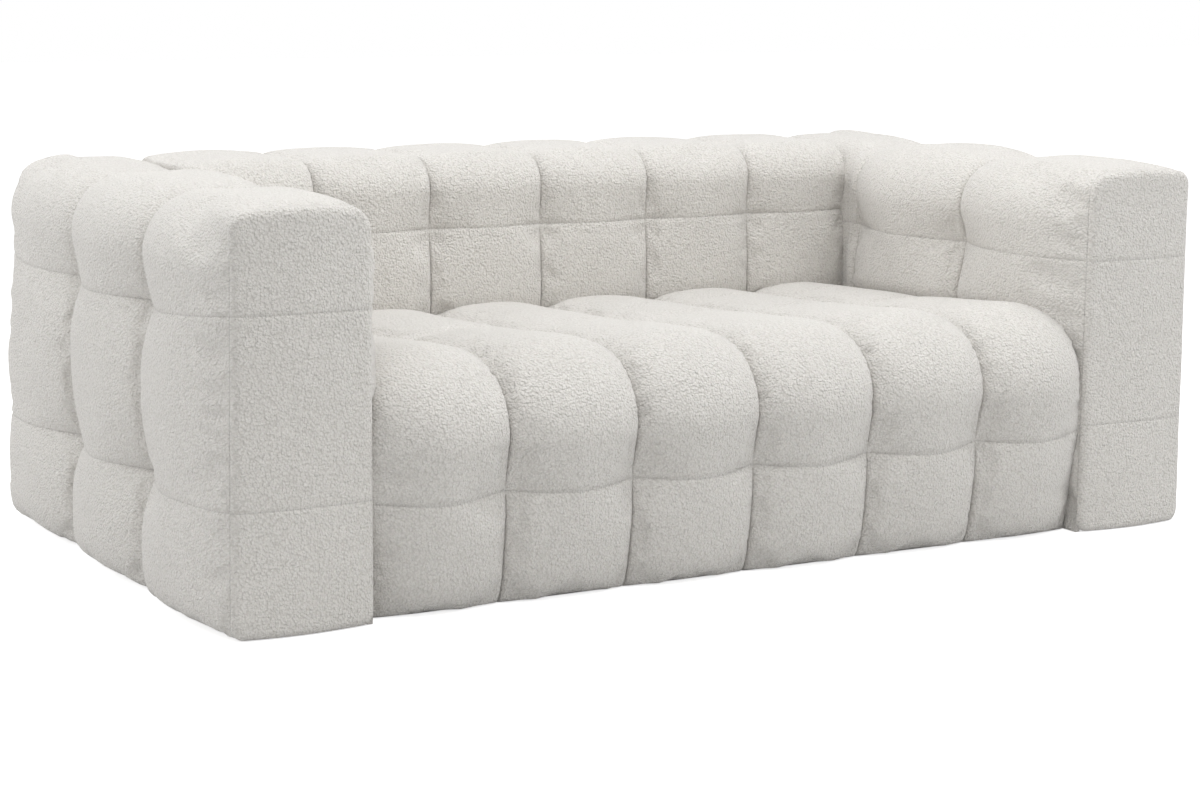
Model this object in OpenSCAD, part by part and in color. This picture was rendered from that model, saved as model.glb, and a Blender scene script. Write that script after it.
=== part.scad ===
// Tuxedo sofa: channelled upholstery over a boarded timber frame, with arms as high as the back.
// The origin is on the floor at the middle of the base. +X is to the right seen from the front,
// +Y is to the back and +Z is up. The right arm is the left arm mirrored.

/* [Sofa] */
// Overall width over the crowns of the arms' outer sides
overall_w = 2040; // [1700:10:2600]
// Overall depth from the arms' front panels to their rear panels
overall_d = 1150; // [1000:10:1350]
// Overall height of the arms and the back
overall_h = 700; // [660:5:800]
// Height of the seat's crown above the floor, at the front
seat_h = 425; // [400:5:450]
// Width of an arm between its groove lines
arm_w = 225; // [200:5:280]
// Thickness of the back between its groove lines
back_t = 295; // [270:5:330]
// How far the seat's crown stands behind the arms' front faces
seat_inset = 0; // [0:1:40]
// How far the seat's top falls towards the back
seat_rake = 28; // [0:1:45]
// How far the foot of the seat's front leans in under the low seam
front_lean = 27; // [0:1:40]

/* [Channels] */
// Number of channels on the seat and on the back
channels = 6; // [4:1:8]
// Number of channels on each arm
arm_channels = 3; // [2:1:4]
// Crown of the channels on the arms' outer sides
side_crown = 50; // [30:1:60]
// Crown of the channels on the arms' inner sides
inner_crown = 28; // [10:1:35]
// Crown of the channels on top of the arms
arm_top_crown = 28; // [20:1:35]
// How far the arms' cover stands above its groove lines where it meets the end panels
end_lift = 18; // [8:1:20]
// Crown of the channels on the outside of the back
outside_crown = 25; // [10:1:40]
// Crown of the channels on top of the back
top_crown = 14; // [5:1:25]
// Crown of the seat's channels
seat_crown = 38; // [15:1:45]
// Crown of the channels on the front of the back
back_crown = 30; // [10:1:40]
// Height of the cross seam low on the seat, the arms and the outside back
low_seam_h = 205; // [180:5:215]
// Height of the upper cross seam on the arms
arm_seam_h = 530; // [500:5:560]
// Height of the upper cross seam on the back
back_seam_h = 560; // [520:5:580]
// How deep a cross seam pulls a groove in
seam_pull = 6; // [0:0.5:9]

/* [Upholstery] */
// Thickness of cover and wadding in the grooves
cover_t = 12; // [10:0.5:15]
// Height of the covers' lower hem above the floor
hem_h = 5; // [3:0.5:7]
// Radius of the back's top edges, in the grooves
edge_r = 55; // [45:1:70]
// Radius of the arms' top edges, in the grooves
arm_edge_r = 75; // [60:1:85]
// Radius of the seat's front edge, in the grooves
seat_r = 100; // [80:5:115]
// Radius of the end panels' top corners
end_corner_r = 22; // [12:1:40]
// Thickness of the arms' boxed end panels at their edge
panel_edge_t = 10; // [6:0.5:14]
// Crown of the arms' boxed end panels
panel_crown = 10; // [4:0.5:16]
// Thickness of the foam on the sides of an arm
arm_foam_t = 20; // [12:1:30]
// Thickness of the foam on top of the arms and the back
top_foam_t = 35; // [30:1:45]
// Thickness of the foam on the front of the back
back_foam_t = 50; // [30:1:70]
// Thickness of the foam on the outside of the back
outside_foam_t = 15; // [10:1:25]
// Thickness of the foam on the front of the seat unit, at its foot
front_foam_t = 20; // [12:1:30]
// Thickness of the felt insulator over the springs
felt_t = 6; // [4:0.5:10]
// Clearance between a soft piece and its neighbour
soft_gap = 0.3; // [0.2:0.05:0.6]

/* [Timber frame] */
// Thickness of the hardboard and plywood skins
board_t = 9; // [6:0.5:12]
// Thickness of the plywood formers, end boards and dividers
former_t = 18; // [12:1:22]
// Width of the flat rails
rail_w = 45; // [40:1:60]
// Thickness of the rails
rail_t = 25; // [20:1:32]
// Height of the seat unit's timber frame above its underside
seat_frame_h = 225; // [205:5:235]
// Height of the upright rails that carry the springs
spring_rail_h = 70; // [55:1:90]
// Solid height at the foot of each former, below its window
former_foot = 320; // [300:5:350]
// Margin of timber round the window of a former
former_margin = 45; // [38:1:55]
// Corner radius of the windows
window_r = 25; // [10:1:35]
// Height of the joining boards on the arms
joining_h = 280; // [260:5:320]
// Leg length of the triangular corner blocks
block_leg = 60; // [40:1:80]

/* [Springs and webbing] */
// Number of zig-zag springs
spring_count = 9; // [6:1:10]
// Width of a zig-zag spring over its loops
spring_w = 54; // [48:1:64]
// Radius of the spring wire
wire_r = 1.9; // [1.6:0.1:2.4]
// Number of cross rungs in a spring
rungs = 20; // [18:1:22]
// Rise of the springs above their anchors
spring_rise = 28; // [20:1:35]
// Thickness of the clip steel
clip_t = 1.5; // [1:0.1:2]
// Width of a spring clip
clip_w = 16; // [10:1:20]
// Radius of the tie wires
tie_r = 1.5; // [1:0.1:2]
// Width of the elastic webbing
web_w = 60; // [40:1:80]
// Thickness of the elastic webbing
web_t = 1.6; // [1:0.1:2.5]

/* [Fittings] */
// Height of the floor glides
glide_h = 9; // [8:0.5:12]
// Radius of the floor glides
glide_r = 18; // [14:0.5:20]
// Thickness of the dust covers
dust_t = 1; // [0.6:0.1:1.5]
// Radius of the glide screws' shank
screw_r = 2; // [1.5:0.1:2.5]
// Length of the glide screws' shank in the timber
screw_len = 18; // [12:1:22]
// Radius of the joining bolts
bolt_r = 4; // [3:0.5:5]
// Radius of the joining bolts' flanged heads
bolt_head_r = 9; // [8:0.5:11]
// Height of the joining bolts' heads
bolt_head_h = 5; // [4:0.5:7]
// Height of the lower joining bolts above the floor
bolt_low_h = 110; // [90:5:130]
// Height of the upper joining bolts above the floor
bolt_high_h = 230; // [200:5:250]

/* [Hidden] */

// Overrun of every cut past the face it leaves
cut_over = 2;
// Fit of a bolt or screw in its hole
hole_gap = 0.3;
// Fit of the spring wire in its clips and against the felt
wire_gap = 0.3;
// Facets of the round fittings and of the wires
round_fn = 48;
// Exponent of a channel's arch, and its steps across one channel
arch_power_share = 3.2;
seat_steps = 7;
back_steps = 6;
arm_steps = 6;
// Steps round a quarter bend of the back and the arms, of the seat's front and of a hidden outline
bend_steps = 4;
arm_bend_steps = 6;
seat_bend_steps = 6;
outline_steps = 8;
// Steps round a half loop of a zig-zag spring, and sides of its wire
loop_steps = 3;
wire_sides = 6;
// How much of its crown a channel keeps at the hem and at the seat's rear end
hem_share = 0.5;
seat_rear_share = 0.8;
// How much a cross seam lowers a channel in its middle and towards its grooves
seam_middle_share = 0.06;
seam_edge_share = 0.9;
// Length over which the arms' inner crown fades in front of the back
fade_len = 60;
// Clearance of the back's and arms' crowns above the seat's crown
crown_clear = 8;
// Ring scales of an end panel, with the share of the panel's depth at each ring
panel_ring_shares = [[1, 0], [1, 0.3], [0.965, 0.52], [0.85, 0.72], [0.6, 0.9], [0.3, 0.98]];
// Depth of the dish in a divider's top edge, and how far its ends stay below the springs
divider_dish = 45;
divider_drop = 30;
// Facet steps along the arc of the spring deck
deck_steps = 16;
// Places of the two tie wires along the springs, as shares of their arc
tie_shares = [0.3, 0.7];
// Places of the cross straps in the height of the webbing
strap_shares = [0.25, 0.75];
// Share of a glide's height taken by its bevel, and of its radius by its screw hole's head
glide_bevel_share = 0.3;
screw_head_share = 0.25;
// Share of the unit width at which its inner formers, dividers and glides stand
third_share = 1 / 3;
// Tee nut flange and barrel
nut_flange_r = 11;
nut_flange_t = 1.5;
nut_barrel_r = 5.5;
nut_barrel_len = 10;
// Distance of the seat's joining bolts from the ends of its end boards
bolt_margin = 130;
// Room between a joining bolt's head and a former
bolt_room = 5;
// Distance of the arms' glides from the arm's ends
glide_margin = 90;

// Levels
frame_z = glide_h + dust_t;
top_z = overall_h - top_crown;
arm_top_z = overall_h - arm_top_crown;
seat_z = seat_h - seat_crown;
clear_z = seat_h + crown_clear;
back_clear_z = clear_z - seat_rake;
// Groove planes of the arms, and half the width of the seat and back units
out_x = overall_w / 2 - side_crown;
in_x = out_x - arm_w;
arm_x = (out_x + in_x) / 2;
unit_x = in_x - soft_gap;
// Planes along the depth
panel_depth = panel_edge_t + panel_crown;
panel_y = overall_d / 2 - panel_depth;
arm_y = panel_y - soft_gap;
rear_y = overall_d / 2 - outside_crown;
back_y = rear_y - back_t;
seat_y = seat_inset + seat_crown - overall_d / 2;
seat_end_y = back_y - soft_gap;
arm_crown_end_y = back_y - back_crown;
// Arm core, in the arm's own section with its middle at zero
skin_u = arm_w / 2 - cover_t;
foam_u = skin_u - soft_gap;
core_u = foam_u - arm_foam_t - soft_gap;
former_u = core_u - board_t;
arm_foam_top_z = arm_top_z - cover_t - soft_gap;
core_top_z = arm_foam_top_z - top_foam_t - soft_gap;
former_top_z = core_top_z - board_t;
arm_foam_r = arm_edge_r - cover_t - soft_gap;
arm_pitch = 2 * arm_y / arm_channels;
joining_top_z = frame_z + joining_h;
// Seat unit
pitch = 2 * unit_x / channels;
front_foam_y = seat_y + cover_t + soft_gap;
front_foot_y = front_foam_y + front_lean;
front_board_y = front_foot_y + front_foam_t + soft_gap;
front_rail_y = front_board_y + board_t;
spring_front_y = front_rail_y + rail_t;
spring_back_y = seat_end_y - rail_t;
seat_frame_z = frame_z + seat_frame_h;
end_x = unit_x - former_t;
seat_foam_r = seat_r - cover_t - soft_gap;
seat_foam_z = seat_z - cover_t - soft_gap;
// Arc of the spring deck through the anchors on the two spring rails
anchor_z = seat_frame_z + clip_t + wire_gap + wire_r;
anchor_y = front_rail_y + rail_t / 2;
anchor_back_y = seat_end_y - rail_t / 2;
deck_chord = anchor_back_y - anchor_y;
deck_r = (deck_chord * deck_chord / 4 + spring_rise * spring_rise) / (2 * spring_rise);
deck_y = (anchor_y + anchor_back_y) / 2;
deck_z = anchor_z + spring_rise - deck_r;
deck_angle = asin(deck_chord / 2 / deck_r);
felt_r = deck_r + wire_r + wire_gap;
hook_r = wire_r + wire_gap + clip_t;
felt_y = anchor_y + hook_r + soft_gap;
felt_back_y = anchor_back_y - hook_r - soft_gap;
spring_pitch = 2 * end_x / spring_count;
loop_r = deck_r * deck_angle * PI / 180 / (rungs - 1);
rung_half = spring_w / 2 - loop_r;
// Back unit
foam_top_z = top_z - cover_t - soft_gap;
foam_r = edge_r - cover_t - soft_gap;
back_foam_y = back_y + cover_t + soft_gap;
web_y = back_foam_y + back_foam_t + soft_gap;
back_core_y = web_y + 2 * web_t;
back_foam_rear_y = rear_y - cover_t - soft_gap;
outside_y = back_foam_rear_y - outside_foam_t - soft_gap;
back_core_rear_y = outside_y - board_t;
back_core_top_z = foam_top_z - top_foam_t - soft_gap;
webbing_rail_z = seat_z;
// Joining bolts, which move aside where a former of the arm would stand in their way
bolt_hole_r = bolt_r + hole_gap;
bolt_clear = former_t / 2 + bolt_head_r + bolt_room;
function nearest_former(y) = round((y + arm_y) / arm_pitch) * arm_pitch - arm_y;
function beside_former(y, at) = abs(y - at) < bolt_clear ? at + bolt_clear * (y < at ? -1 : 1) : y;
function bolt_place(y) = beside_former(y, nearest_former(y));
bolt_seat_front_y = bolt_place(front_board_y + bolt_margin);
bolt_seat_back_y = bolt_place(seat_end_y - bolt_margin);
bolt_back_y = bolt_place((back_core_y + back_core_rear_y) / 2);
bolt_places = [
    [bolt_seat_front_y, bolt_low_h],
    [bolt_seat_back_y, bolt_low_h],
    [bolt_back_y, bolt_low_h],
    [bolt_back_y, bolt_high_h]
];
bolt_nut_x = end_x;
// Glides, on the left half of the sofa
arm_glide_u = former_u - rail_w / 2;
arm_glide_y = arm_y - glide_margin;
left_glide_places = [
    [-arm_x - arm_glide_u, -arm_glide_y],
    [-arm_x + arm_glide_u, -arm_glide_y],
    [-arm_x - arm_glide_u, arm_glide_y],
    [-arm_x + arm_glide_u, arm_glide_y],
    [-unit_x * third_share, front_rail_y + rail_w / 2],
    [-unit_x * third_share, seat_end_y - rail_w / 2],
    [-unit_x * third_share * 2, back_core_rear_y - rail_w / 2]
];

// Colours
cloth_colour = [0.87, 0.85, 0.81];
foam_colour = [0.93, 0.88, 0.66];
timber_colour = [0.80, 0.66, 0.46];
board_colour = [0.62, 0.47, 0.31];
felt_colour = [0.45, 0.45, 0.43];
steel_colour = [0.62, 0.63, 0.65];
web_colour = [0.16, 0.16, 0.17];
glide_colour = [0.10, 0.10, 0.10];

// Shared shapes

module block(x0, x1, y0, y1, z0, z1)
    translate([x0, y0, z0]) cube([x1 - x0, y1 - y0, z1 - z0]);

// Extrudes an outline drawn in x and z, from y0 to y1
module along_y(y0, y1)
    translate([0, y1, 0]) rotate([90, 0, 0]) linear_extrude(y1 - y0) children();

// Extrudes an outline drawn in y and z, from x0 to x1
module along_x(x0, x1)
    translate([x0, 0, 0]) rotate([90, 0, 90]) linear_extrude(x1 - x0) children();

module rod_x(x0, x1, y, z, r)
    translate([x0, y, z]) rotate([0, 90, 0]) cylinder(h = x1 - x0, r = r, $fn = round_fn);

module left_arm() translate([-arm_x, 0, 0]) children();
module right_arm() mirror([1, 0, 0]) left_arm() children();
module both_sides() {
    children();
    mirror([1, 0, 0]) children();
}

function clamp_share(x) = max(0, min(1, x));
function between(a, b, n) = [for (i = [1:1:n - 1]) a + (b - a) * i / n];
function arc_points(c, r, a0, a1, n) =
    [for (i = [0:n]) c + r * [cos(a0 + (a1 - a0) * i / n), sin(a0 + (a1 - a0) * i / n)]];

// Outline with a square foot and two round top corners
function arch_outline(u0, u1, z0, z1, r, n) = concat(
    [[u0, z0], [u1, z0]],
    arc_points([u1 - r, z1 - r], r, 0, 90, n),
    arc_points([u0 + r, z1 - r], r, 90, 180, n)
);

function round_rect(u0, u1, z0, z1, r, n) = concat(
    arc_points([u1 - r, z0 + r], r, -90, 0, n),
    arc_points([u1 - r, z1 - r], r, 0, 90, n),
    arc_points([u0 + r, z1 - r], r, 90, 180, n),
    arc_points([u0 + r, z0 + r], r, 180, 270, n)
);

// Window of a former between its two edges, above its solid foot
module former_window(u0, u1, top) {
    r = min(window_r, (u1 - u0) / 2 - former_margin - cut_over);
    polygon(round_rect(u0 + former_margin, u1 - former_margin,
        frame_z + former_foot, top - former_margin, r, outline_steps));
}

// Channelled covers

// A station is a place on a cover's groove line: its two section coordinates, its outward normal,
// the crown there, 1 on a cross seam and 0 elsewhere, how far along the cover it may crown, and how
// high the cover's two ends stand above the groove line. A rise is a crown with its end lift.
function arch(v) = sqrt(max(0, 1 - pow(abs(2 * v - 1), arch_power_share)));
function side_station(u, n, row, rise, reach) =
    [u, row[0], n, 0, rise[0] * row[2], row[1], reach, rise[1]];
// Distance from a bend's middle, at one angle, to a corner of radius e between planes at x and z
function corner_reach(x, z, e, a) =
    let (
        n = [abs(cos(a)), sin(a)],
        c = [x - e, z - e],
        along = n * c
    )
    x * n[1] <= c[1] * n[0] ? x / n[0] :
    z * n[0] <= c[0] * n[1] ? z / n[1] :
    along + sqrt(max(0, along * along - c * c + e * e));
function bend_stations(c, r, a0, a1, n, side, top, reach, corner_r) = [
    for (i = [0:n])
        let (
            a = a0 + (a1 - a0) * i / n,
            crown = side[0] * cos(a) * cos(a) + top[0] * sin(a) * sin(a),
            lift = corner_reach(r + side[1], r + top[1], corner_r, a) - r
        )
        [c[0] + r * cos(a), c[1] + r * sin(a), cos(a), sin(a), crown, 0, reach, lift]
];
function plain_rows(a, b, n) = [for (z = between(a, b, n)) [z, 0, 1]];
function seam_row(z) = [[z, 1, 1]];

function outer_rows(seam_z, top) = concat(
    [[hem_h, 0, hem_share]],
    plain_rows(hem_h, low_seam_h, 3),
    seam_row(low_seam_h),
    plain_rows(low_seam_h, seam_z, 4),
    seam_row(seam_z),
    plain_rows(seam_z, top, 2)
);
function inner_rows(clear, seam_z, top) = concat(
    [[hem_h, 0, 0], [clear, 0, 0]],
    plain_rows(clear, seam_z, 2),
    seam_row(seam_z),
    plain_rows(seam_z, top, 2)
);
function reversed(list) = [for (i = [len(list) - 1:-1:0]) list[i]];

// Height of a cover above its groove line at a station and a share of one channel. In the outer
// halves of the two end channels it starts from the end lift.
function crown_height(s, v, t, end_half) =
    let (
        rise = s[4] * clamp_share((s[6] - t) / fade_len),
        low = end_half ? s[7] : 0
    )
    low + (rise - low) * arch(v) * (1 - s[5] * (seam_middle_share + seam_edge_share * (1 - arch(v))))
    - (v == 0 && !end_half && rise > 0 ? s[5] * seam_pull : 0);

function section_point(s, h) = [s[0] + s[2] * h, s[1] + s[3] * h];
function placed(q, t, along_depth) = along_depth ? [q[0], t, q[1]] : [t, q[0], q[1]];

// Closed shell of a channelled cover: its channels lie side by side over the length, its outer
// skin follows the stations and crowns, and its inner skin is plain and one cover thickness in.
module channel_cover(stations, half_len, count, steps, along_depth) {
    m = len(stations);
    n = count * steps + 1;
    ts = [for (i = [0:n - 1]) -half_len + 2 * half_len * i / (n - 1)];
    outer = [
        for (i = [0:n - 1])
            let (v = (i % steps) / steps, end_half = i < steps / 2 || i > n - 1 - steps / 2)
            for (s = stations)
                placed(section_point(s, crown_height(s, v, ts[i], end_half)), ts[i], along_depth)
    ];
    first = [for (t = ts) placed(section_point(stations[0], -cover_t), t, along_depth)];
    last = [for (t = ts) placed(section_point(stations[m - 1], -cover_t), t, along_depth)];
    edges = [
        for (t = [-half_len, half_len]) for (j = [1:m - 2])
            placed(section_point(stations[j], -cover_t), t, along_depth)
    ];
    first_at = n * m;
    last_at = first_at + n;
    edge_at = last_at + n;
    function at(i, j) = i * m + j;
    function inner_at(e, j) =
        j == 0 ? first_at + e * (n - 1) :
        j == m - 1 ? last_at + e * (n - 1) :
        edge_at + e * (m - 2) + j - 1;
    skin = [
        for (i = [0:n - 2]) for (j = [0:m - 2]) each [
            [at(i, j), at(i + 1, j), at(i + 1, j + 1)],
            [at(i, j), at(i + 1, j + 1), at(i, j + 1)]
        ]
    ];
    hems = [
        for (i = [0:n - 2]) each [
            [at(i, 0), first_at + i, first_at + i + 1],
            [at(i, 0), first_at + i + 1, at(i + 1, 0)],
            [at(i, m - 1), at(i + 1, m - 1), last_at + i + 1],
            [at(i, m - 1), last_at + i + 1, last_at + i],
            [inner_at(0, 1), first_at + i + 1, first_at + i],
            [inner_at(0, m - 2), last_at + i, last_at + i + 1]
        ]
    ];
    ends = [
        for (j = [0:m - 2]) each [
            [at(0, j), at(0, j + 1), inner_at(0, j + 1)],
            [at(0, j), inner_at(0, j + 1), inner_at(0, j)],
            [at(n - 1, j + 1), at(n - 1, j), inner_at(1, j)],
            [at(n - 1, j + 1), inner_at(1, j), inner_at(1, j + 1)]
        ]
    ];
    lining = concat(
        [[inner_at(0, 1), inner_at(1, 1), inner_at(1, 0)]],
        [[inner_at(0, m - 2), inner_at(1, m - 1), inner_at(1, m - 2)]],
        [
            for (j = [1:m - 3]) each [
                [inner_at(0, j), inner_at(0, j + 1), inner_at(1, j + 1)],
                [inner_at(0, j), inner_at(1, j + 1), inner_at(1, j)]
            ]
        ]
    );
    faces = concat(skin, hems, ends, lining);
    polyhedron(
        concat(outer, first, last, edges),
        along_depth ? faces : [for (f = faces) reversed(f)]
    );
}

// Seat unit

seat_rise = [seat_crown, 0];
seat_top_y = seat_y + seat_r;
seat_end_z = seat_z - seat_rake;
function lean_at(z) = front_lean * max(0, low_seam_h - z) / (low_seam_h - hem_h);
function seat_level(y) = seat_z - seat_rake * (y - seat_top_y) / (seat_end_y - seat_top_y);

seat_stations = concat(
    [
        for (row = concat(
            [[hem_h, 0, hem_share]],
            plain_rows(hem_h, low_seam_h, 3),
            seam_row(low_seam_h),
            plain_rows(low_seam_h, seat_z - seat_r, 2)
        )) side_station(seat_y + lean_at(row[0]), -1, row, seat_rise, overall_w)
    ],
    bend_stations([seat_top_y, seat_z - seat_r], seat_r, 180, 90, seat_bend_steps,
        seat_rise, seat_rise, overall_w, seat_r),
    [
        for (y = between(seat_top_y, seat_end_y, 5))
            [y, seat_level(y), 0, 1, seat_crown, 0, overall_w, 0]
    ],
    [[seat_end_y, seat_end_z, 0, 1, seat_crown * seat_rear_share, 0, overall_w, 0]]
);

module seat_cover() color(cloth_colour)
    channel_cover(seat_stations, unit_x, channels, seat_steps, false);

// Region under an arc of the spring deck, between two depths
module deck_region(r, y0, y1)
    polygon(concat(
        [[y1, 0], [y0, 0]],
        [
            for (i = [0:deck_steps])
                let (y = y0 + (y1 - y0) * i / deck_steps)
                [y, deck_z + sqrt(r * r - (y - deck_y) * (y - deck_y))]
        ]
    ));

// The foam follows the cover's front curve, and stops level with the top of the frame
module seat_foam() color(foam_colour)
    along_x(-unit_x, unit_x)
        difference() {
            polygon(concat(
                [[seat_end_y, 0], [front_foam_y, 0]],
                arc_points([front_foam_y + seat_foam_r, seat_foam_z - seat_foam_r],
                    seat_foam_r, 180, 90, outline_steps),
                [[seat_end_y, seat_foam_z - seat_rake]]
            ));
            translate([front_foam_y - cut_over, -cut_over])
                square([seat_end_y - front_foam_y + 2 * cut_over, seat_frame_z + soft_gap + cut_over]);
            deck_region(felt_r + felt_t + soft_gap, front_board_y - soft_gap, seat_end_y + cut_over);
        }

// A wedge, thicker above, because the front leans in towards the floor
module seat_front_foam() color(foam_colour)
    along_x(-unit_x, unit_x)
        polygon([
            [front_foam_y + lean_at(frame_z), frame_z + soft_gap],
            [front_board_y - soft_gap, frame_z + soft_gap],
            [front_board_y - soft_gap, seat_frame_z],
            [front_foam_y, seat_frame_z],
            [front_foam_y, low_seam_h]
        ]);

// The felt lies on the springs and the end boards, between the two rows of clips
module seat_felt() color(felt_colour)
    along_x(-unit_x, unit_x)
        difference() {
            deck_region(felt_r + felt_t, felt_y, felt_back_y);
            deck_region(felt_r, felt_y - cut_over, felt_back_y + cut_over);
        }

// Centre line of a zig-zag spring on the deck's arc: straight rungs across the seat, joined by
// half loops on alternate sides. Each entry is the place across, the place along and the direction.
function zigzag_path() = concat(
    [[-rung_half, 0, 1, 0]],
    [
        for (k = [0:rungs - 2])
            let (side = 1 - 2 * (k % 2))
            for (i = [0:loop_steps])
                let (a = 180 * i / loop_steps - 90)
                [side * (rung_half + loop_r * cos(a)), (2 * k + 1) * loop_r + loop_r * sin(a),
                    -side * sin(a), cos(a)]
    ],
    [[rung_half * (2 * (rungs % 2) - 1), 2 * (rungs - 1) * loop_r, 2 * (rungs % 2) - 1, 0]]
);

module zigzag_spring() {
    path = zigzag_path();
    n = len(path);
    points = [
        for (p = path)
            let (
                a = -deck_angle + p[1] / deck_r * 180 / PI,
                normal = [0, sin(a), cos(a)],
                along = [0, cos(a), -sin(a)],
                beside = [p[3], 0, 0] - p[2] * along
            )
            for (j = [0:wire_sides - 1])
                [p[0], deck_y, deck_z] + deck_r * normal
                + wire_r * (cos(360 * j / wire_sides) * normal + sin(360 * j / wire_sides) * beside)
    ];
    function at(i, j) = i * wire_sides + j % wire_sides;
    faces = concat(
        [for (j = [1:wire_sides - 2]) [0, j, j + 1]],
        [
            for (i = [0:n - 2]) for (j = [0:wire_sides - 1]) each [
                [at(i, j), at(i + 1, j + 1), at(i, j + 1)],
                [at(i, j), at(i + 1, j), at(i + 1, j + 1)]
            ]
        ],
        [for (j = [1:wire_sides - 2]) [at(n - 1, 0), at(n - 1, j + 1), at(n - 1, j)]]
    );
    polyhedron(points, faces);
}

function spring_x(k) = (k - (spring_count - 1) / 2) * spring_pitch;

module seat_springs() color(steel_colour)
    for (k = [0:spring_count - 1])
        translate([spring_x(k), 0, 0]) zigzag_spring();

// One clip: a plate on the rail and a hook closed over the end rung
module spring_clip(y)
    translate([0, y, 0])
        along_x(-clip_w / 2, clip_w / 2)
            translate([0, anchor_z])
                difference() {
                    union() {
                        circle(r = hook_r, $fn = round_fn);
                        translate([-rail_t / 2, -hook_r]) square([rail_t, clip_t]);
                    }
                    circle(r = hook_r - clip_t, $fn = round_fn);
                }

module spring_clips() color(steel_colour)
    for (k = [0:spring_count - 1])
        translate([spring_x(k), 0, 0]) {
            spring_clip(anchor_y);
            spring_clip(anchor_back_y);
        }

module tie_wires() color(steel_colour)
    for (share = tie_shares) {
        a = -deck_angle + 2 * deck_angle * share;
        r = deck_r - wire_r - wire_gap - tie_r;
        rod_x(-end_x, end_x, deck_y + r * sin(a), deck_z + r * cos(a), tie_r);
    }

module seat_front_spring_rail() color(timber_colour)
    block(-end_x, end_x, front_rail_y, spring_front_y, seat_frame_z - spring_rail_h, seat_frame_z);

module seat_back_spring_rail() color(timber_colour)
    block(-end_x, end_x, spring_back_y, seat_end_y, seat_frame_z - spring_rail_h, seat_frame_z);

module seat_front_bottom_rail() color(timber_colour)
    difference() {
        block(-end_x, end_x, front_rail_y, front_rail_y + rail_w, frame_z, frame_z + rail_t);
        screw_holes();
    }

module seat_back_bottom_rail() color(timber_colour)
    difference() {
        block(-end_x, end_x, seat_end_y - rail_w, seat_end_y, frame_z, frame_z + rail_t);
        screw_holes();
    }

// The end boards rise with the spring deck, so that the felt lies on them
module seat_right_end_board() color(timber_colour)
    difference() {
        along_x(end_x, unit_x)
            intersection() {
                deck_region(felt_r - soft_gap, front_rail_y, seat_end_y);
                translate([front_rail_y, frame_z]) square([seat_end_y - front_rail_y, seat_h]);
            }
        nut_holes();
    }

module seat_left_end_board() mirror([1, 0, 0]) seat_right_end_board();

// The dividers run from front to back, dished to stay clear of the loaded springs
module seat_right_divider() color(timber_colour) {
    top = seat_frame_z - divider_drop;
    span = spring_back_y - spring_front_y;
    dish_half = span / 2 - rail_w;
    dish_r = (dish_half * dish_half + divider_dish * divider_dish) / (2 * divider_dish);
    along_x(unit_x * third_share - former_t / 2, unit_x * third_share + former_t / 2)
        difference() {
            translate([spring_front_y, frame_z + rail_t]) square([span, top - frame_z - rail_t]);
            translate([(spring_front_y + spring_back_y) / 2, top - divider_dish + dish_r])
                circle(r = dish_r, $fn = round_fn * 4);
        }
}

module seat_left_divider() mirror([1, 0, 0]) seat_right_divider();

module seat_front_board() color(board_colour)
    block(-unit_x, unit_x, front_board_y, front_rail_y, frame_z, seat_frame_z);

module corner_block()
    translate([0, 0, seat_frame_z - spring_rail_h])
        linear_extrude(spring_rail_h - divider_drop)
            polygon([[0, 0], [-block_leg, 0], [0, block_leg]]);

module corner_blocks() color(timber_colour)
    both_sides() {
        translate([end_x, spring_front_y, 0]) corner_block();
        translate([end_x, spring_back_y, 0]) mirror([0, 1, 0]) corner_block();
    }

module seat_dust_cover() color(web_colour)
    difference() {
        block(-unit_x, unit_x, front_foot_y, seat_end_y, glide_h, frame_z);
        screw_holes();
    }

// Back unit

back_bend_z = top_z - edge_r;
back_rise = [back_crown, 0];
back_top_rise = [top_crown, 0];
outside_rise = [outside_crown, 0];

back_stations = concat(
    [
        for (row = inner_rows(back_clear_z, back_seam_h, back_bend_z))
            side_station(back_y, -1, row, back_rise, overall_w)
    ],
    bend_stations([back_y + edge_r, back_bend_z], edge_r, 180, 90, bend_steps,
        back_rise, back_top_rise, overall_w, edge_r),
    [[(back_y + rear_y) / 2, top_z, 0, 1, top_crown, 0, overall_w, 0]],
    bend_stations([rear_y - edge_r, back_bend_z], edge_r, 90, 0, bend_steps,
        outside_rise, back_top_rise, overall_w, edge_r),
    [
        for (row = reversed(outer_rows(back_seam_h, back_bend_z)))
            side_station(rear_y, 1, row, outside_rise, overall_w)
    ]
);

module back_cover() color(cloth_colour)
    channel_cover(back_stations, unit_x, channels, back_steps, false);

module back_foam() color(foam_colour)
    along_x(-unit_x, unit_x)
        difference() {
            polygon(arch_outline(back_foam_y, back_foam_rear_y, frame_z + soft_gap, foam_top_z,
                foam_r, outline_steps));
            translate([web_y - soft_gap, 0])
                square([outside_y + 2 * soft_gap - web_y, back_core_top_z + soft_gap]);
        }

// Upright straps lie in front of the cross straps, and both are stapled to the frame
module back_webbing() color(web_colour) {
    strap_top_z = back_core_top_z;
    strap_foot_z = webbing_rail_z;
    for (k = [0:channels - 1]) {
        x = (k - (channels - 1) / 2) * pitch;
        block(x - web_w / 2, x + web_w / 2, web_y, web_y + web_t, strap_foot_z, strap_top_z);
    }
    for (share = strap_shares) {
        z = strap_foot_z + (strap_top_z - strap_foot_z) * share;
        block(-unit_x, unit_x, web_y + web_t, back_core_y, z - web_w / 2, z + web_w / 2);
    }
}

module back_former_outline(notched)
    difference() {
        translate([back_core_y, frame_z])
            square([back_core_rear_y - back_core_y, back_core_top_z - frame_z]);
        former_window(back_core_y, back_core_rear_y, back_core_top_z);
        if (notched) back_rail_notches();
    }

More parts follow.
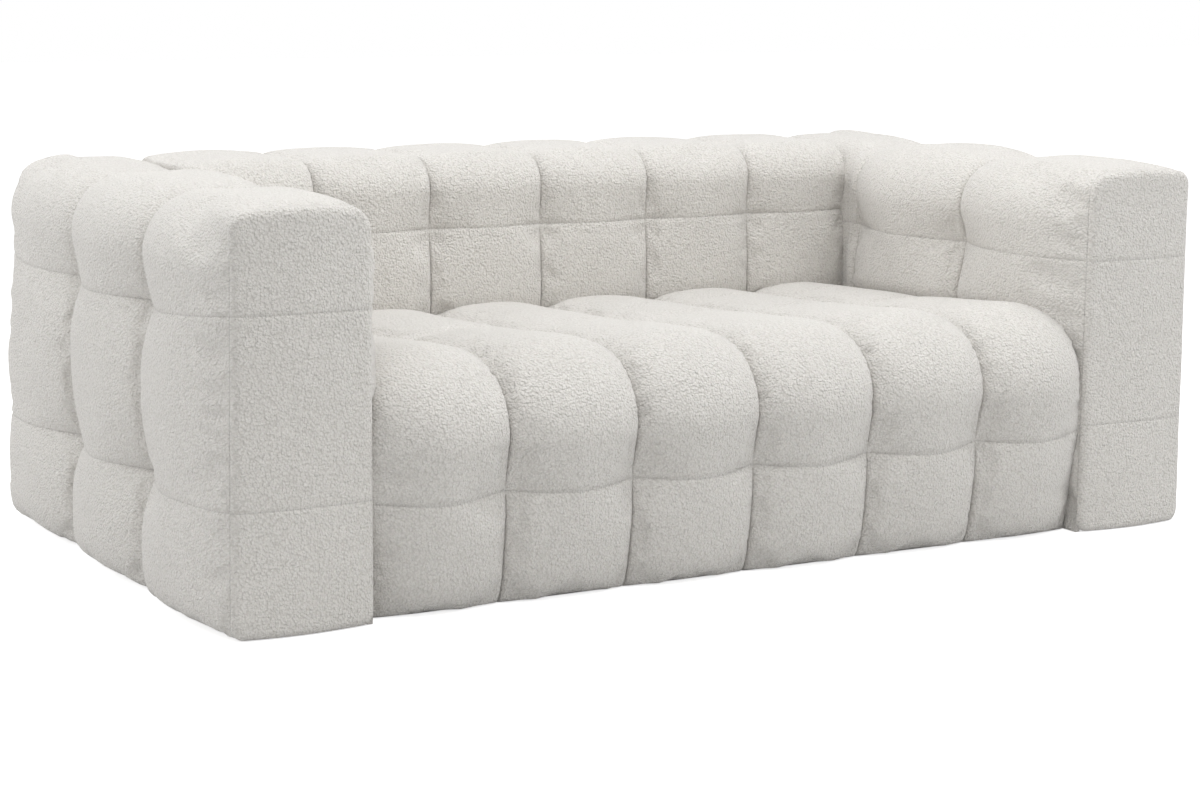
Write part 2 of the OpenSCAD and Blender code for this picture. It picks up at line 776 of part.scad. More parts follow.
// Notches for the four long rails of the back, and for its webbing rail
module back_rail_notches() {
    for (z = [frame_z, back_core_top_z - rail_t])
        for (y = [back_core_y, back_core_rear_y - rail_w])
            translate([y, z]) square([rail_w, rail_t]);
    translate([back_core_y, webbing_rail_z]) square([rail_t, rail_w]);
}

module back_end_formers() color(timber_colour)
    both_sides()
        difference() {
            along_x(end_x, unit_x) back_former_outline(false);
            nut_holes();
        }

module back_inner_formers() color(timber_colour)
    both_sides()
        along_x(unit_x * third_share - former_t / 2, unit_x * third_share + former_t / 2)
            back_former_outline(true);

module back_rail_pair(z0) {
    block(-end_x, end_x, back_core_y, back_core_y + rail_w, z0, z0 + rail_t);
    block(-end_x, end_x, back_core_rear_y - rail_w, back_core_rear_y, z0, z0 + rail_t);
}

module back_top_rails() color(timber_colour) back_rail_pair(back_core_top_z - rail_t);

module back_bottom_rails() color(timber_colour)
    difference() {
        back_rail_pair(frame_z);
        screw_holes();
    }

module back_webbing_rail() color(timber_colour)
    block(-end_x, end_x, back_core_y, back_core_y + rail_t, webbing_rail_z, webbing_rail_z + rail_w);

module outside_board() color(board_colour)
    block(-unit_x, unit_x, back_core_rear_y, outside_y, frame_z, back_core_top_z);

module back_dust_cover() color(web_colour)
    difference() {
        block(-unit_x, unit_x, back_foam_y, back_foam_rear_y, glide_h, frame_z);
        screw_holes();
    }

// Arms, each drawn in its own section: the outer side is at -x and the inner side at +x

arm_bend_z = arm_top_z - arm_edge_r;
arm_bend_u = arm_w / 2 - arm_edge_r;
arm_rise = [side_crown, end_lift];
arm_top_rise = [arm_top_crown, end_lift];
arm_inner_rise = [inner_crown, 0];

arm_stations = concat(
    [
        for (row = outer_rows(arm_seam_h, arm_bend_z))
            side_station(-arm_w / 2, -1, row, arm_rise, overall_d)
    ],
    bend_stations([-arm_bend_u, arm_bend_z], arm_edge_r, 180, 90, arm_bend_steps,
        arm_rise, arm_top_rise, overall_d, end_corner_r),
    [[0, arm_top_z, 0, 1, arm_top_crown, 0, overall_d, end_lift]],
    bend_stations([arm_bend_u, arm_bend_z], arm_edge_r, 90, 0, arm_bend_steps,
        arm_inner_rise, arm_top_rise, arm_crown_end_y, end_corner_r),
    [
        for (row = reversed(inner_rows(clear_z, arm_seam_h, arm_bend_z)))
            side_station(arm_w / 2, 1, row, arm_inner_rise, arm_crown_end_y)
    ]
);

module arm_cover() color(cloth_colour)
    difference() {
        channel_cover(arm_stations, arm_y, arm_channels, arm_steps, true);
        arm_bolt_holes(skin_u - cut_over, arm_w / 2 + cut_over);
    }

// Boxed end panel: the outline of the arm cover's end, with a rolled edge and a crowned face
function panel_outline() = [for (s = reversed(arm_stations)) section_point(s, s[7])];

module arm_end_panel() color(cloth_colour) {
    outline = panel_outline();
    n = len(outline);
    rings = len(panel_ring_shares);
    middle = [-end_lift / 2, (hem_h + arm_top_z + end_lift) / 2];
    points = concat(
        [
            for (ring = panel_ring_shares) for (p = outline)
                let (q = middle + (p - middle) * ring[0])
                [q[0], -panel_y - panel_depth * ring[1], q[1]]
        ],
        [[middle[0], -panel_y - panel_depth, middle[1]], [middle[0], -panel_y, middle[1]]]
    );
    faces = concat(
        [for (i = [0:n - 1]) [rings * n + 1, i, (i + 1) % n]],
        [
            for (k = [0:rings - 2]) for (i = [0:n - 1])
                let (a = k * n + i, b = k * n + (i + 1) % n)
                each [[a, a + n, b + n], [a, b + n, b]]
        ],
        [for (i = [0:n - 1]) [(rings - 1) * n + i, rings * n, (rings - 1) * n + (i + 1) % n]]
    );
    polyhedron(points, faces);
}

module arm_rear_panel() mirror([0, 1, 0]) arm_end_panel();

// The foam wrap's inner leg ends on the joining board
module arm_foam() color(foam_colour)
    along_y(-arm_y, arm_y)
        difference() {
            polygon(arch_outline(-foam_u, foam_u, frame_z + soft_gap, arm_foam_top_z,
                arm_foam_r, outline_steps));
            translate([-core_u - soft_gap, 0])
                square([2 * (core_u + soft_gap), core_top_z + soft_gap]);
            translate([0, 0]) square([arm_w, joining_top_z + soft_gap]);
        }

module arm_top_board() color(board_colour)
    along_y(-arm_y, arm_y)
        polygon(arch_outline(-core_u, core_u, former_top_z, core_top_z, board_t / 2, outline_steps));

module arm_outer_board() color(board_colour)
    block(-core_u, -former_u, -arm_y, arm_y, frame_z, former_top_z);

module arm_inner_board() color(board_colour)
    difference() {
        block(former_u, core_u, -arm_y, arm_y, frame_z, former_top_z);
        arm_bolt_holes(former_u - cut_over, core_u + cut_over);
    }

module arm_joining_board() color(timber_colour)
    difference() {
        block(core_u, foam_u, -arm_y, arm_y, frame_z, joining_top_z);
        arm_bolt_holes(core_u - cut_over, foam_u + cut_over);
    }

module arm_former(y, windowed, notched)
    along_y(y - former_t / 2, y + former_t / 2)
        difference() {
            translate([-former_u, frame_z]) square([2 * former_u, former_top_z - frame_z]);
            if (windowed)
                former_window(-former_u, former_u, former_top_z);
            if (notched)
                for (u = [-former_u, former_u - rail_w])
                    for (z = [frame_z, former_top_z - rail_t])
                        translate([u, z]) square([rail_w, rail_t]);
        }

module arm_front_former() color(timber_colour) arm_former(former_t / 2 - arm_y, false, false);
module arm_rear_former() color(timber_colour) arm_former(arm_y - former_t / 2, false, false);
module arm_groove_formers() color(timber_colour)
    for (k = [1:arm_channels - 1]) arm_former(-arm_y + k * arm_pitch, true, true);

module arm_rail_pair(z0) {
    rail_y = arm_y - former_t;
    for (u = [-former_u, former_u - rail_w])
        block(u, u + rail_w, -rail_y, rail_y, z0, z0 + rail_t);
}

module arm_top_rails() color(timber_colour) arm_rail_pair(former_top_z - rail_t);

module arm_bottom_rails() color(timber_colour)
    difference() {
        arm_rail_pair(frame_z);
        translate([arm_x, 0, 0]) screw_holes();
    }

module arm_dust_cover() color(web_colour)
    difference() {
        block(-foam_u, foam_u, -arm_y, arm_y, glide_h, frame_z);
        translate([arm_x, 0, 0]) screw_holes();
    }

module left_arm_cover() left_arm() arm_cover();
module left_arm_front_panel() left_arm() arm_end_panel();
module left_arm_rear_panel() left_arm() arm_rear_panel();
module left_arm_foam() left_arm() arm_foam();
module left_arm_outer_board() left_arm() arm_outer_board();
module left_arm_inner_board() left_arm() arm_inner_board();
module left_arm_top_board() left_arm() arm_top_board();
module left_arm_joining_board() left_arm() arm_joining_board();
module left_arm_front_former() left_arm() arm_front_former();
module left_arm_rear_former() left_arm() arm_rear_former();
module left_arm_groove_formers() left_arm() arm_groove_formers();
module left_arm_top_rails() left_arm() arm_top_rails();
module left_arm_bottom_rails() left_arm() arm_bottom_rails();
module left_arm_dust_cover() left_arm() arm_dust_cover();

module right_arm_cover() right_arm() arm_cover();
module right_arm_front_panel() right_arm() arm_end_panel();
module right_arm_rear_panel() right_arm() arm_rear_panel();
module right_arm_foam() right_arm() arm_foam();
module right_arm_outer_board() right_arm() arm_outer_board();
module right_arm_inner_board() right_arm() arm_inner_board();
module right_arm_top_board() right_arm() arm_top_board();
module right_arm_joining_board() right_arm() arm_joining_board();
module right_arm_front_former() right_arm() arm_front_former();
module right_arm_rear_former() right_arm() arm_rear_former();
module right_arm_groove_formers() right_arm() arm_groove_formers();
module right_arm_top_rails() right_arm() arm_top_rails();
module right_arm_bottom_rails() right_arm() arm_bottom_rails();
module right_arm_dust_cover() right_arm() arm_dust_cover();

// Fittings

// Holes for the joining bolts in an arm, drawn in the arm's own section
module arm_bolt_holes(u0, u1)
    for (p = bolt_places) rod_x(u0, u1, p[0], p[1], bolt_hole_r);

// Holes for the tee nuts' barrels in the right end of the seat and back units
module nut_holes()
    for (p = bolt_places)
        rod_x(end_x - cut_over, unit_x + cut_over, p[0], p[1], nut_barrel_r + hole_gap);

module glide_places()
    both_sides()
        for (p = left_glide_places) translate([p[0], p[1], 0]) children();

module screw_holes()
    glide_places()
        translate([0, 0, glide_h - cut_over])
            cylinder(h = dust_t + rail_t + 2 * cut_over, r = screw_r + hole_gap, $fn = round_fn);

screw_head_r = 2 * screw_r;
screw_head_z = glide_h * screw_head_share;

module glides() color(glide_colour)
    glide_places()
        rotate_extrude($fn = round_fn)
            polygon([
                [screw_head_r + hole_gap, 0],
                [glide_r - glide_h * glide_bevel_share, 0],
                [glide_r, glide_h * glide_bevel_share],
                [glide_r, glide_h],
                [screw_r + hole_gap, glide_h],
                [screw_r + hole_gap, screw_head_z + screw_r + hole_gap],
                [screw_head_r + hole_gap, screw_head_z + hole_gap]
            ]);

module glide_screws() color(steel_colour)
    glide_places()
        rotate_extrude($fn = round_fn)
            polygon([
                [0, screw_head_z],
                [screw_head_r, screw_head_z],
                [screw_r, screw_head_z + screw_r],
                [screw_r, frame_z + screw_len - screw_r],
                [0, frame_z + screw_len]
            ]);

// A bolt starts inside the arm, crosses into the seat or back unit and ends in its tee nut
module joining_bolts() color(steel_colour)
    both_sides()
        for (p = bolt_places) {
            head_x = arm_x - former_u;
            rod_x(bolt_nut_x - nut_flange_t, head_x, p[0], p[1], bolt_r);
            rod_x(head_x, head_x + bolt_head_h, p[0], p[1], bolt_head_r);
        }

module tee_nuts() color(steel_colour)
    both_sides()
        for (p = bolt_places)
            translate([bolt_nut_x, p[0], p[1]])
                rotate([0, 90, 0])
                    rotate_extrude($fn = round_fn)
                        polygon([
                            [bolt_hole_r, -nut_flange_t],
                            [nut_flange_r, -nut_flange_t],
                            [nut_flange_r, 0],
                            [nut_barrel_r, 0],
                            [nut_barrel_r, nut_barrel_len],
                            [bolt_hole_r, nut_barrel_len]
                        ]);

seat_cover();
seat_foam();
seat_front_foam();
seat_felt();
seat_springs();
spring_clips();
tie_wires();
seat_front_spring_rail();
seat_back_spring_rail();
seat_front_bottom_rail();
seat_back_bottom_rail();
seat_left_end_board();
seat_right_end_board();
seat_left_divider();
seat_right_divider();
seat_front_board();
corner_blocks();
seat_dust_cover();
back_cover();
back_foam();
back_webbing();
back_webbing_rail();
back_top_rails();
back_bottom_rails();
back_end_formers();
back_inner_formers();
outside_board();
back_dust_cover();
left_arm_cover();
left_arm_front_panel();
left_arm_rear_panel();
left_arm_foam();
left_arm_outer_board();
left_arm_inner_board();
left_arm_top_board();
left_arm_joining_board();
left_arm_front_former();
left_arm_rear_former();
left_arm_groove_formers();
left_arm_top_rails();
left_arm_bottom_rails();
left_arm_dust_cover();
right_arm_cover();
right_arm_front_panel();
right_arm_rear_panel();
right_arm_foam();
right_arm_outer_board();
right_arm_inner_board();
right_arm_top_board();
right_arm_joining_board();
right_arm_front_former();
right_arm_rear_former();
right_arm_groove_formers();
right_arm_top_rails();
right_arm_bottom_rails();
right_arm_dust_cover();
glides();
glide_screws();
joining_bolts();
tee_nuts();
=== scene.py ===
"""Tuxedo sofa with channelled upholstery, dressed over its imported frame."""
import bisect
import math
import bpy
from mathutils import Matrix, Vector, noise


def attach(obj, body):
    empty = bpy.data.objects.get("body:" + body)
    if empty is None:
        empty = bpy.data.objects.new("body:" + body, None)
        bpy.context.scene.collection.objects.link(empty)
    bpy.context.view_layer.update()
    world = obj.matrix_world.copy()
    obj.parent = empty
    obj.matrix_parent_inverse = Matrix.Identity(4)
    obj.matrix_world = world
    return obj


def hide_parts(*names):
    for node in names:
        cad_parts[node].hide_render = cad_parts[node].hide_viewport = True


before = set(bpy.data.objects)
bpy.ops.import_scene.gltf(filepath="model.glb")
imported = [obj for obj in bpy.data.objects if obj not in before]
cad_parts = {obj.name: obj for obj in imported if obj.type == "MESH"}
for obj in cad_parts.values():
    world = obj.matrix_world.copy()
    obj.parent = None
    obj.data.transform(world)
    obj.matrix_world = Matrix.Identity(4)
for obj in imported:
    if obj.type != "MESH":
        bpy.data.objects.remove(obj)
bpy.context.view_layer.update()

# Ends and sides of the covers, in metres
half_length = 0.555
cover_end = 0.5547
out_x = 0.970
in_x = 0.745
unit_x = 0.7447
hem_z = 0.001
lowest = 0.0005
lining = 0.010

# Arms: the bend over the top, and the crowns of the channels
arm_top = 0.672
arm_bend = 0.075
side_crown = 0.062
low_crown = 0.063
low_crown_z = 0.10
crown_rise = 0.50
top_crown = 0.031
inner_crown = 0.056

# Arms: the rear channel is a little different
rear_fuller = 0.002
rear_fuller_z = 0.60
rear_slimmer = 0.008
rear_slim_z = 0.45
rear_slim_rise = 0.15
rear_top_crown = 0.028
rear_wall_power = 4
open_power = 2

# Arms: how far the end panels' outline stands above the grooves
side_lift = 0.018
rear_side_lift = 0.012
top_lift = 0.018
rear_top_lift = 0.008
end_arch = 0.009
arch_z = 0.56
arch_rise = 0.12
base_flare = 0.008

# Arms: the inner pillows stay clear of the seat and the back
clear_z = 0.398
clear_round = 0.05
clear_drop = 0.045
front_clear_y = -0.40
front_clear_reach = 0.12
slope_y = -0.45
slope_reach = 0.70
inner_full_y = 0.09
inner_fade = 0.13

# Back
back_y = 0.255
back_low = 0.330
back_top = 0.686
back_foot = 0.372
back_foot_round = 0.06
back_bend = 0.055
back_crown = 0.030
back_top_crown = 0.014
rear_y = 0.550
rear_crown = 0.025

# Seat
seat_y = -0.550
seat_tuck = 0.034
seat_end = 0.2547
seat_top = 0.387
seat_rake = 0.028
seat_bend = 0.100
seat_crown = 0.042
roll_crown = 0.054
roll_start = 0.09
roll_length = 0.55
roll_fade = 0.30
end_start = 0.09
end_rise_length = 0.10
end_share = 0.55
end_power = 1.8

# Cross seams
low_seam = 0.201
arm_low_seam = 0.212
arm_seam = 0.528
back_seam = 0.556
seam_droop = 0.021
droop_reach = 0.14
seam_width = 0.90
crease_depth = 0.0013
crease_reach = 0.0026
sewn_reach = 0.0016

# Form of a channel
pillow_reach = 0.150
wall_power = 2.4
wall_steepness = 5.0
roundness = 0.3
pinch_power = 1.6
belly_power = 2.2
floor_round = 0.070
floor_share = 0.2
swell_depth = 0.0025
swell_scale = 9
arm_swell_depth = 0.003
arm_swell_scale = 8

# Gathers beside the grooves
far_side_depth = 0.35
gather_wander = 1.6
gather_change = 30
seat_gathers = {"start": 0.28, "end": 0.54, "spacing": 0.019, "depth": 0.009, "reach": 0.028}
back_gathers = {"start": 0.25, "end": 0.42, "spacing": 0.017, "depth": 0.006, "reach": 0.024}
arm_gathers = {"start": 0.50, "end": 0.72, "spacing": 0.018, "depth": 0.005, "reach": 0.026}

# End panels
outer_corner = 0.026
foot_corner = 0.024
inner_corner = 0.038
rear_corner = 0.036
panel_edge = 0.010
panel_round = 0.014
panel_depth = 0.020
panel_swell_depth = 0.002

# Meshes
row_step = 0.008
seam_rows = (-0.006, -0.003, -0.0012, 0.0, 0.0012, 0.003, 0.006)
seam_room = 0.003
least_row = 0.0009
lining_step = 6
smooth_angle = 75
arm_columns = 52
seat_columns = 40
back_columns = 38
panel_columns = 44
panel_rows = 96

# Cloth that settles over the padding
cloth_step = 0.009
cloth_frames = 14
cloth_slack = 0.035
cloth_pressure = 1.0
cloth_mass = 0.2
cloth_bending = 0.3
cloth_quality = 4
most_move = 0.004

# Light
world_strength = 0.52
floor_glow = 0.74
top_lamp_watts = 120
left_lamp_watts = 84
right_lamp_watts = 46


def clamp(value):
    return max(0.0, min(1.0, value))


def mix(start, end, share):
    return start + (end - start) * share


def arch(share, power):
    return math.sqrt(max(0.0, 1.0 - abs(share) ** power))


def run(start, end):
    return {"start": start, "end": end, "length": math.dist(start, end)}


def bend(centre, radius, first, last):
    length = radius * math.radians(abs(last - first))
    return {"centre": centre, "radius": radius, "first": first, "last": last, "length": length}


def place_on(path, side, s):
    """Point and outward direction at s metres along a path of runs and bends."""
    for piece in path:
        if s <= piece["length"] or piece is path[-1]:
            break
        s -= piece["length"]
    share = min(s / piece["length"], 1.0)
    if "radius" in piece:
        angle = math.radians(mix(piece["first"], piece["last"], share))
        out = (math.cos(angle), math.sin(angle))
        centre = piece["centre"]
        return (centre[0] + piece["radius"] * out[0], centre[1] + piece["radius"] * out[1]), out
    start, end = piece["start"], piece["end"]
    along = ((end[0] - start[0]) / piece["length"], (end[1] - start[1]) / piece["length"])
    point = (mix(start[0], end[0], share), mix(start[1], end[1], share))
    return point, (-along[1] * side, along[0] * side)


def stations(path, seams):
    """Distances along a path, close together beside each seam."""
    marks = []
    start = 0.0
    for piece in path:
        count = max(2, math.ceil(piece["length"] / row_step))
        marks += [start + piece["length"] * i / count for i in range(count + 1)]
        start += piece["length"]
    fine = [seam + gap for seam in seams for gap in seam_rows]
    marks = [m for m in marks if all(abs(m - f) > seam_room for f in fine)] + fine
    marks = sorted(m for m in marks if -1e-9 <= m <= start + 1e-9)
    kept = marks[:1]
    for mark in marks[1:]:
        if mark - kept[-1] > least_row:
            kept.append(mark)
    return kept, start


def places(count, per):
    """Shares across the channels, close together beside each groove."""
    marks = []
    for channel in range(count):
        for i in range(per):
            share = i / per
            eased = 0.2 * share + 0.4 * (1 - math.cos(math.pi * share))
            marks.append(channel + eased)
    return marks + [float(count)]


def fullness(s, seams, length):
    """Nought at a seam and one where the pillow beside it is full."""
    cuts = [0.0] + list(seams) + [length]
    full = 1.0
    for i, seam in enumerate(cuts[1:-1], 1):
        far = cuts[i - 1] if s < seam else cuts[i + 1]
        reach = min(pillow_reach, abs(far - seam) * 0.5)
        full = min(full, 1 - (1 - min(abs(s - seam) / reach, 1)) ** belly_power)
    return full


def channel_height(u, belly, crown):
    """Height of the padding over the groove at share u (-1 to 1) of a channel."""
    wall = max(0.0, 1 - abs(u) ** wall_power) ** (1 / wall_steepness)
    full = mix(wall, 1 - u * u, roundness)
    tight = (1 - abs(u) ** pinch_power) * seam_width
    return crown * mix(tight, full, belly)


def end_height(u, belly, crown):
    """The seat's outer half channels, which fall away more gently towards the arms."""
    full = 1 - abs(u) ** end_power
    return crown * mix((1 - abs(u) ** pinch_power) * seam_width, full, belly)


def open_height(u, belly, crown, low, power):
    """Height in the half channel beside an end panel, which starts from the panel's edge."""
    rise = 1 - abs(u) ** power
    return mix(low, crown, rise) * mix(seam_width, 1.0, max(belly, 1 - rise))


def corner_reach(out, wide, high, corner):
    """Distance from a bend's middle to a round corner between two planes."""
    n = (max(abs(out[0]), 1e-6), max(abs(out[1]), 1e-6))
    c = (wide - corner, high - corner)
    if wide * n[1] <= c[1] * n[0]:
        return wide / n[0]
    if high * n[0] <= c[0] * n[1]:
        return high / n[1]
    along = n[0] * c[0] + n[1] * c[1]
    return along + math.sqrt(max(0.0, along * along - c[0] * c[0] - c[1] * c[1] + corner * corner))


def softness(point, scale, depth):
    return noise.noise(Vector(point) * scale) * depth


def near_floor(z):
    """The padding is rounded under where it meets the floor."""
    rise = clamp((z - hem_z) / floor_round)
    return mix(floor_share, 1.0, math.sqrt(1 - (1 - rise) ** 2))


def turn_share(out):
    """Nought facing the first side, one facing up, two facing the far side."""
    return math.degrees(math.atan2(abs(out[1]), out[0])) / 90


def cover_point(form, s, v):
    """A point of a cover's outer face, at s along its path and v channels across."""
    count, length = form["count"], form["length"]
    channel = min(int(v), count - 1)
    u = 2 * (v - channel) - 1
    shift = form["droop"](s, v) if form["droop"] else 0.0
    point, out = place_on(form["path"], form["side"], clamp((s + shift) / length) * length)
    across = mix(form["span"][0], form["span"][1], v / count)
    rise = form["height"](s, length, channel, u, point, out, across)
    return form["to_point"](across, point[0] + out[0] * rise, point[1] + out[1] * rise)


def cloth_rows(seams, length):
    """Evenly spaced stations with one on each seam."""
    cuts = [0.0] + list(seams) + [length]
    rows = []
    for start, end in zip(cuts, cuts[1:]):
        steps = max(3, round((end - start) / cloth_step))
        rows += [mix(start, end, i / steps) for i in range(steps)]
    return rows + [length]


def settle_cloth(form, seams):
    """Lets the cover's cloth settle over its padding, held at the grooves and hems."""
    rows = cloth_rows(seams, form["length"])
    per = round((form["span"][1] - form["span"][0]) / form["count"] / cloth_step)
    wide = form["count"] * per + 1
    start = [Vector(cover_point(form, s, j / per)) for s in rows for j in range(wide)]
    faces = []
    for i in range(len(rows) - 1):
        for j in range(wide - 1):
            a = i * wide + j
            quad = (a, a + 1, a + 1 + wide, a + wide)
            faces.append(quad if form["outward"] > 0 else quad[::-1])
    mesh = bpy.data.meshes.new("settling")
    mesh.from_pydata(start, [], faces)
    obj = bpy.data.objects.new("settling", mesh)
    bpy.context.scene.collection.objects.link(obj)
    held = obj.vertex_groups.new(name="held")
    hems = {0, len(rows) - 1}
    pins = [i * wide + j for i in range(len(rows)) for j in range(wide) if i in hems or j % per == 0]
    held.add(pins, 1.0, "REPLACE")
    cloth = obj.modifiers.new("cloth", "CLOTH")
    cloth.settings.quality = cloth_quality
    cloth.settings.mass = cloth_mass
    cloth.settings.bending_stiffness = cloth_bending
    cloth.settings.shrink_min = -cloth_slack
    cloth.settings.use_pressure = True
    cloth.settings.uniform_pressure_force = cloth_pressure
    cloth.settings.vertex_group_mass = "held"
    cloth.settings.effector_weights.gravity = 0.0
    cloth.collision_settings.use_collision = False
    cloth.point_cache.frame_start = 1
    cloth.point_cache.frame_end = cloth_frames
    for number in range(1, cloth_frames + 1):
        bpy.context.scene.frame_set(number)
    settled = obj.evaluated_get(bpy.context.evaluated_depsgraph_get()).data
    moves = [settled.vertices[i].co - start[i] for i in range(len(start))]
    moves = [move * min(1.0, most_move / max(move.length, 1e-9)) for move in moves]
    bpy.data.objects.remove(obj)
    bpy.data.meshes.remove(mesh)
    bpy.context.scene.frame_set(1)
    return {"rows": rows, "per": per, "wide": wide, "moves": moves}


def cubic_shares(t):
    """Weights of four neighbours for a smooth curve between the middle two."""
    return (
        ((-0.5 * t + 1.0) * t - 0.5) * t,
        (1.5 * t - 2.5) * t * t + 1.0,
        ((-1.5 * t + 2.0) * t + 0.5) * t,
        (0.5 * t - 0.5) * t * t,
    )


def settled_move(cloth, s, v):
    """How far the settled cloth moved at s along and v across, smoothly between its points."""
    rows, wide = cloth["rows"], cloth["wide"]
    i = min(max(bisect.bisect_right(rows, s) - 1, 0), len(rows) - 2)
    down = cubic_shares(clamp((s - rows[i]) / (rows[i + 1] - rows[i])))
    place = v * cloth["per"]
    j = min(int(place), wide - 2)
    over = cubic_shares(clamp(place - j))
    move = Vector((0.0, 0.0, 0.0))
    for a in range(4):
        row = min(max(i + a - 1, 0), len(rows) - 1) * wide
        for b in range(4):
            move += cloth["moves"][row + min(max(j + b - 1, 0), wide - 1)] * (down[a] * over[b])
    return move


def cover(name, path, side, seams, count, per, span, height, to_point, outward, droop=None):
    """A padded cover: channels over a path, closed behind by a flat lining."""
    rows, length = stations(path, seams)
    cols = places(count, per)
    form = {
        "path": path, "side": side, "count": count, "span": span, "height": height,
        "to_point": to_point, "droop": droop, "length": length, "outward": outward,
    }
    cloth = settle_cloth(form, seams)
    verts, faces = [], []
    for s in rows:
        for v in cols:
            place = Vector(cover_point(form, s, v))
            if cloth:
                place += settled_move(cloth, s, v)
                place.z = max(place.z, lowest)
            verts.append(place)
    wide = len(cols)
    back_rows = sorted(set(list(range(0, len(rows), lining_step)) + [len(rows) - 1]))
    back_cols = sorted(set(list(range(0, wide, lining_step)) + [wide - 1]))
    first = len(verts)
    for i in back_rows:
        point, out = place_on(path, side, rows[i])
        for j in back_cols:
            across = mix(span[0], span[1], cols[j] / count)
            verts.append(to_point(across, point[0] - out[0] * lining, point[1] - out[1] * lining))
    for i in range(len(rows) - 1):
        for j in range(wide - 1):
            a = i * wide + j
            faces.append((a, a + 1, a + 1 + wide, a + wide))
    inner = len(back_cols)
    for i in range(len(back_rows) - 1):
        for j in range(inner - 1):
            a = first + i * inner + j
            faces.append((a, a + inner, a + inner + 1, a + 1))
    for end in (0, len(rows) - 1):
        k = 0 if end == 0 else len(back_rows) - 1
        for j in range(inner - 1):
            edge = [end * wide + c for c in range(back_cols[j], back_cols[j + 1] + 1)]
            a = first + k * inner + j
            faces.append(tuple(edge + [a + 1, a]))
    for end in (0, wide - 1):
        k = 0 if end == 0 else inner - 1
        for i in range(len(back_rows) - 1):
            edge = [r * wide + end for r in range(back_rows[i], back_rows[i + 1] + 1)]
            a = first + i * inner + k
            faces.append(tuple(edge + [a + inner, a]))
    sewn = [max(sewn_share(s, seams), end_seam(v, count, name)) for s in rows for v in cols]
    return finish_mesh(name, verts, faces, sewn)


def sewn_share(s, seams):
    """One on a sewn line and nought beside it."""
    return max(clamp(1 - abs(s - seam) / sewn_reach) for seam in seams)


def end_seam(v, count, name):
    """One on an arm cover's ends, where it is sewn to the end panels."""
    return 1.0 if "arm" in name and min(v, count - v) < 1e-6 else 0.0


def finish_mesh(name, verts, faces, sewn):
    """A closed mesh with its faces outward, its shading smooth and its sewn lines marked for painted shade.
    """
    mesh = bpy.data.meshes.new(name)
    mesh.from_pydata(verts, [], faces)
    mesh.update()
    marks = mesh.attributes.new("sewn", "FLOAT", "POINT")
    marks.data.foreach_set("value", sewn + [0.0] * (len(verts) - len(sewn)))
    obj = bpy.data.objects.new(name, mesh)
    bpy.context.scene.collection.objects.link(obj)
    bpy.ops.object.select_all(action="DESELECT")
    obj.select_set(True)
    bpy.context.view_layer.objects.active = obj
    bpy.ops.object.mode_set(mode="EDIT")
    bpy.ops.mesh.select_all(action="SELECT")
    bpy.ops.mesh.normals_make_consistent(inside=False)
    bpy.ops.object.mode_set(mode="OBJECT")
    bpy.ops.object.shade_smooth_by_angle(angle=math.radians(smooth_angle))
    return obj


def seam_line(s, seams):
    """Depth of the sewn line that a cross seam leaves."""
    return sum(crease_depth * math.exp(-((s - seam) / crease_reach) ** 2) for seam in seams)


def seat_path():
    knee = (seat_y + seat_bend, seat_top - seat_bend)
    return [
        run((seat_y + seat_tuck, hem_z), (seat_y, low_seam)),
        run((seat_y, low_seam), (seat_y, knee[1])),
        bend(knee, seat_bend, 180, 90),
        run((knee[0], seat_top), (seat_end, seat_top - seat_rake)),
    ]


def back_path():
    r = back_bend
    return [
        run((back_y, back_low), (back_y, back_top - r)),
        bend((back_y + r, back_top - r), r, 180, 90),
        run((back_y + r, back_top), (rear_y - r, back_top)),
        bend((rear_y - r, back_top - r), r, 90, 0),
        run((rear_y, back_top - r), (rear_y, hem_z)),
    ]


def arm_path():
    r = arm_bend
    return [
        run((out_x, hem_z), (out_x, arm_top - r)),
        bend((out_x - r, arm_top - r), r, 0, 90),
        run((out_x - r, arm_top), (in_x + r, arm_top)),
        bend((in_x + r, arm_top - r), r, 90, 180),
        run((in_x, arm_top - r), (in_x, hem_z)),
    ]


def gather(s, gap, folds, key, u):
    """Short folds beside a groove, between two stations, deeper on the channel's first side."""
    start, end = folds["start"], folds["end"]
    if not start < s < end:
        return 0.0
    depth = folds["depth"] * (far_side_depth if u > 0 else 1.0)
    fade = math.sin(math.pi * (s - start) / (end - start)) ** 0.5
    wander = noise.noise(Vector((s * gather_change, key, 0.0))) * gather_wander
    wave = 0.5 + 0.5 * math.cos(2 * math.pi * s / folds["spacing"] + wander + key)
    return depth * fade * wave * math.exp(-(gap / folds["reach"]) ** 2)


def seat_height(seams):
    pitch = 2 * unit_x / 6

    def height(s, length, channel, u, point, out, across):
        belly = fullness(s, seams, length)
        roll = clamp((s - seams[0]) / roll_start) * clamp((seams[0] + roll_length - s) / roll_fade)
        crown = mix(seat_crown, roll_crown, roll) * near_floor(point[1])
        rise = channel_height(u, belly, crown)
        if (channel == 0 and u < 0) or (channel == 5 and u > 0):
            over = clamp((s - seams[0] - end_start) / end_rise_length)
            rise = mix(end_height(u, belly, crown), rise, end_share * over)
        gap = (1 - abs(u)) * pitch / 2
        key = round(across / pitch) * 2.3
        rise -= gather(s, gap, seat_gathers, key, u)
        rise += softness((across, point[0], point[1]), swell_scale, swell_depth) * arch(u, 2)
        return rise - seam_line(s, seams)
    return height


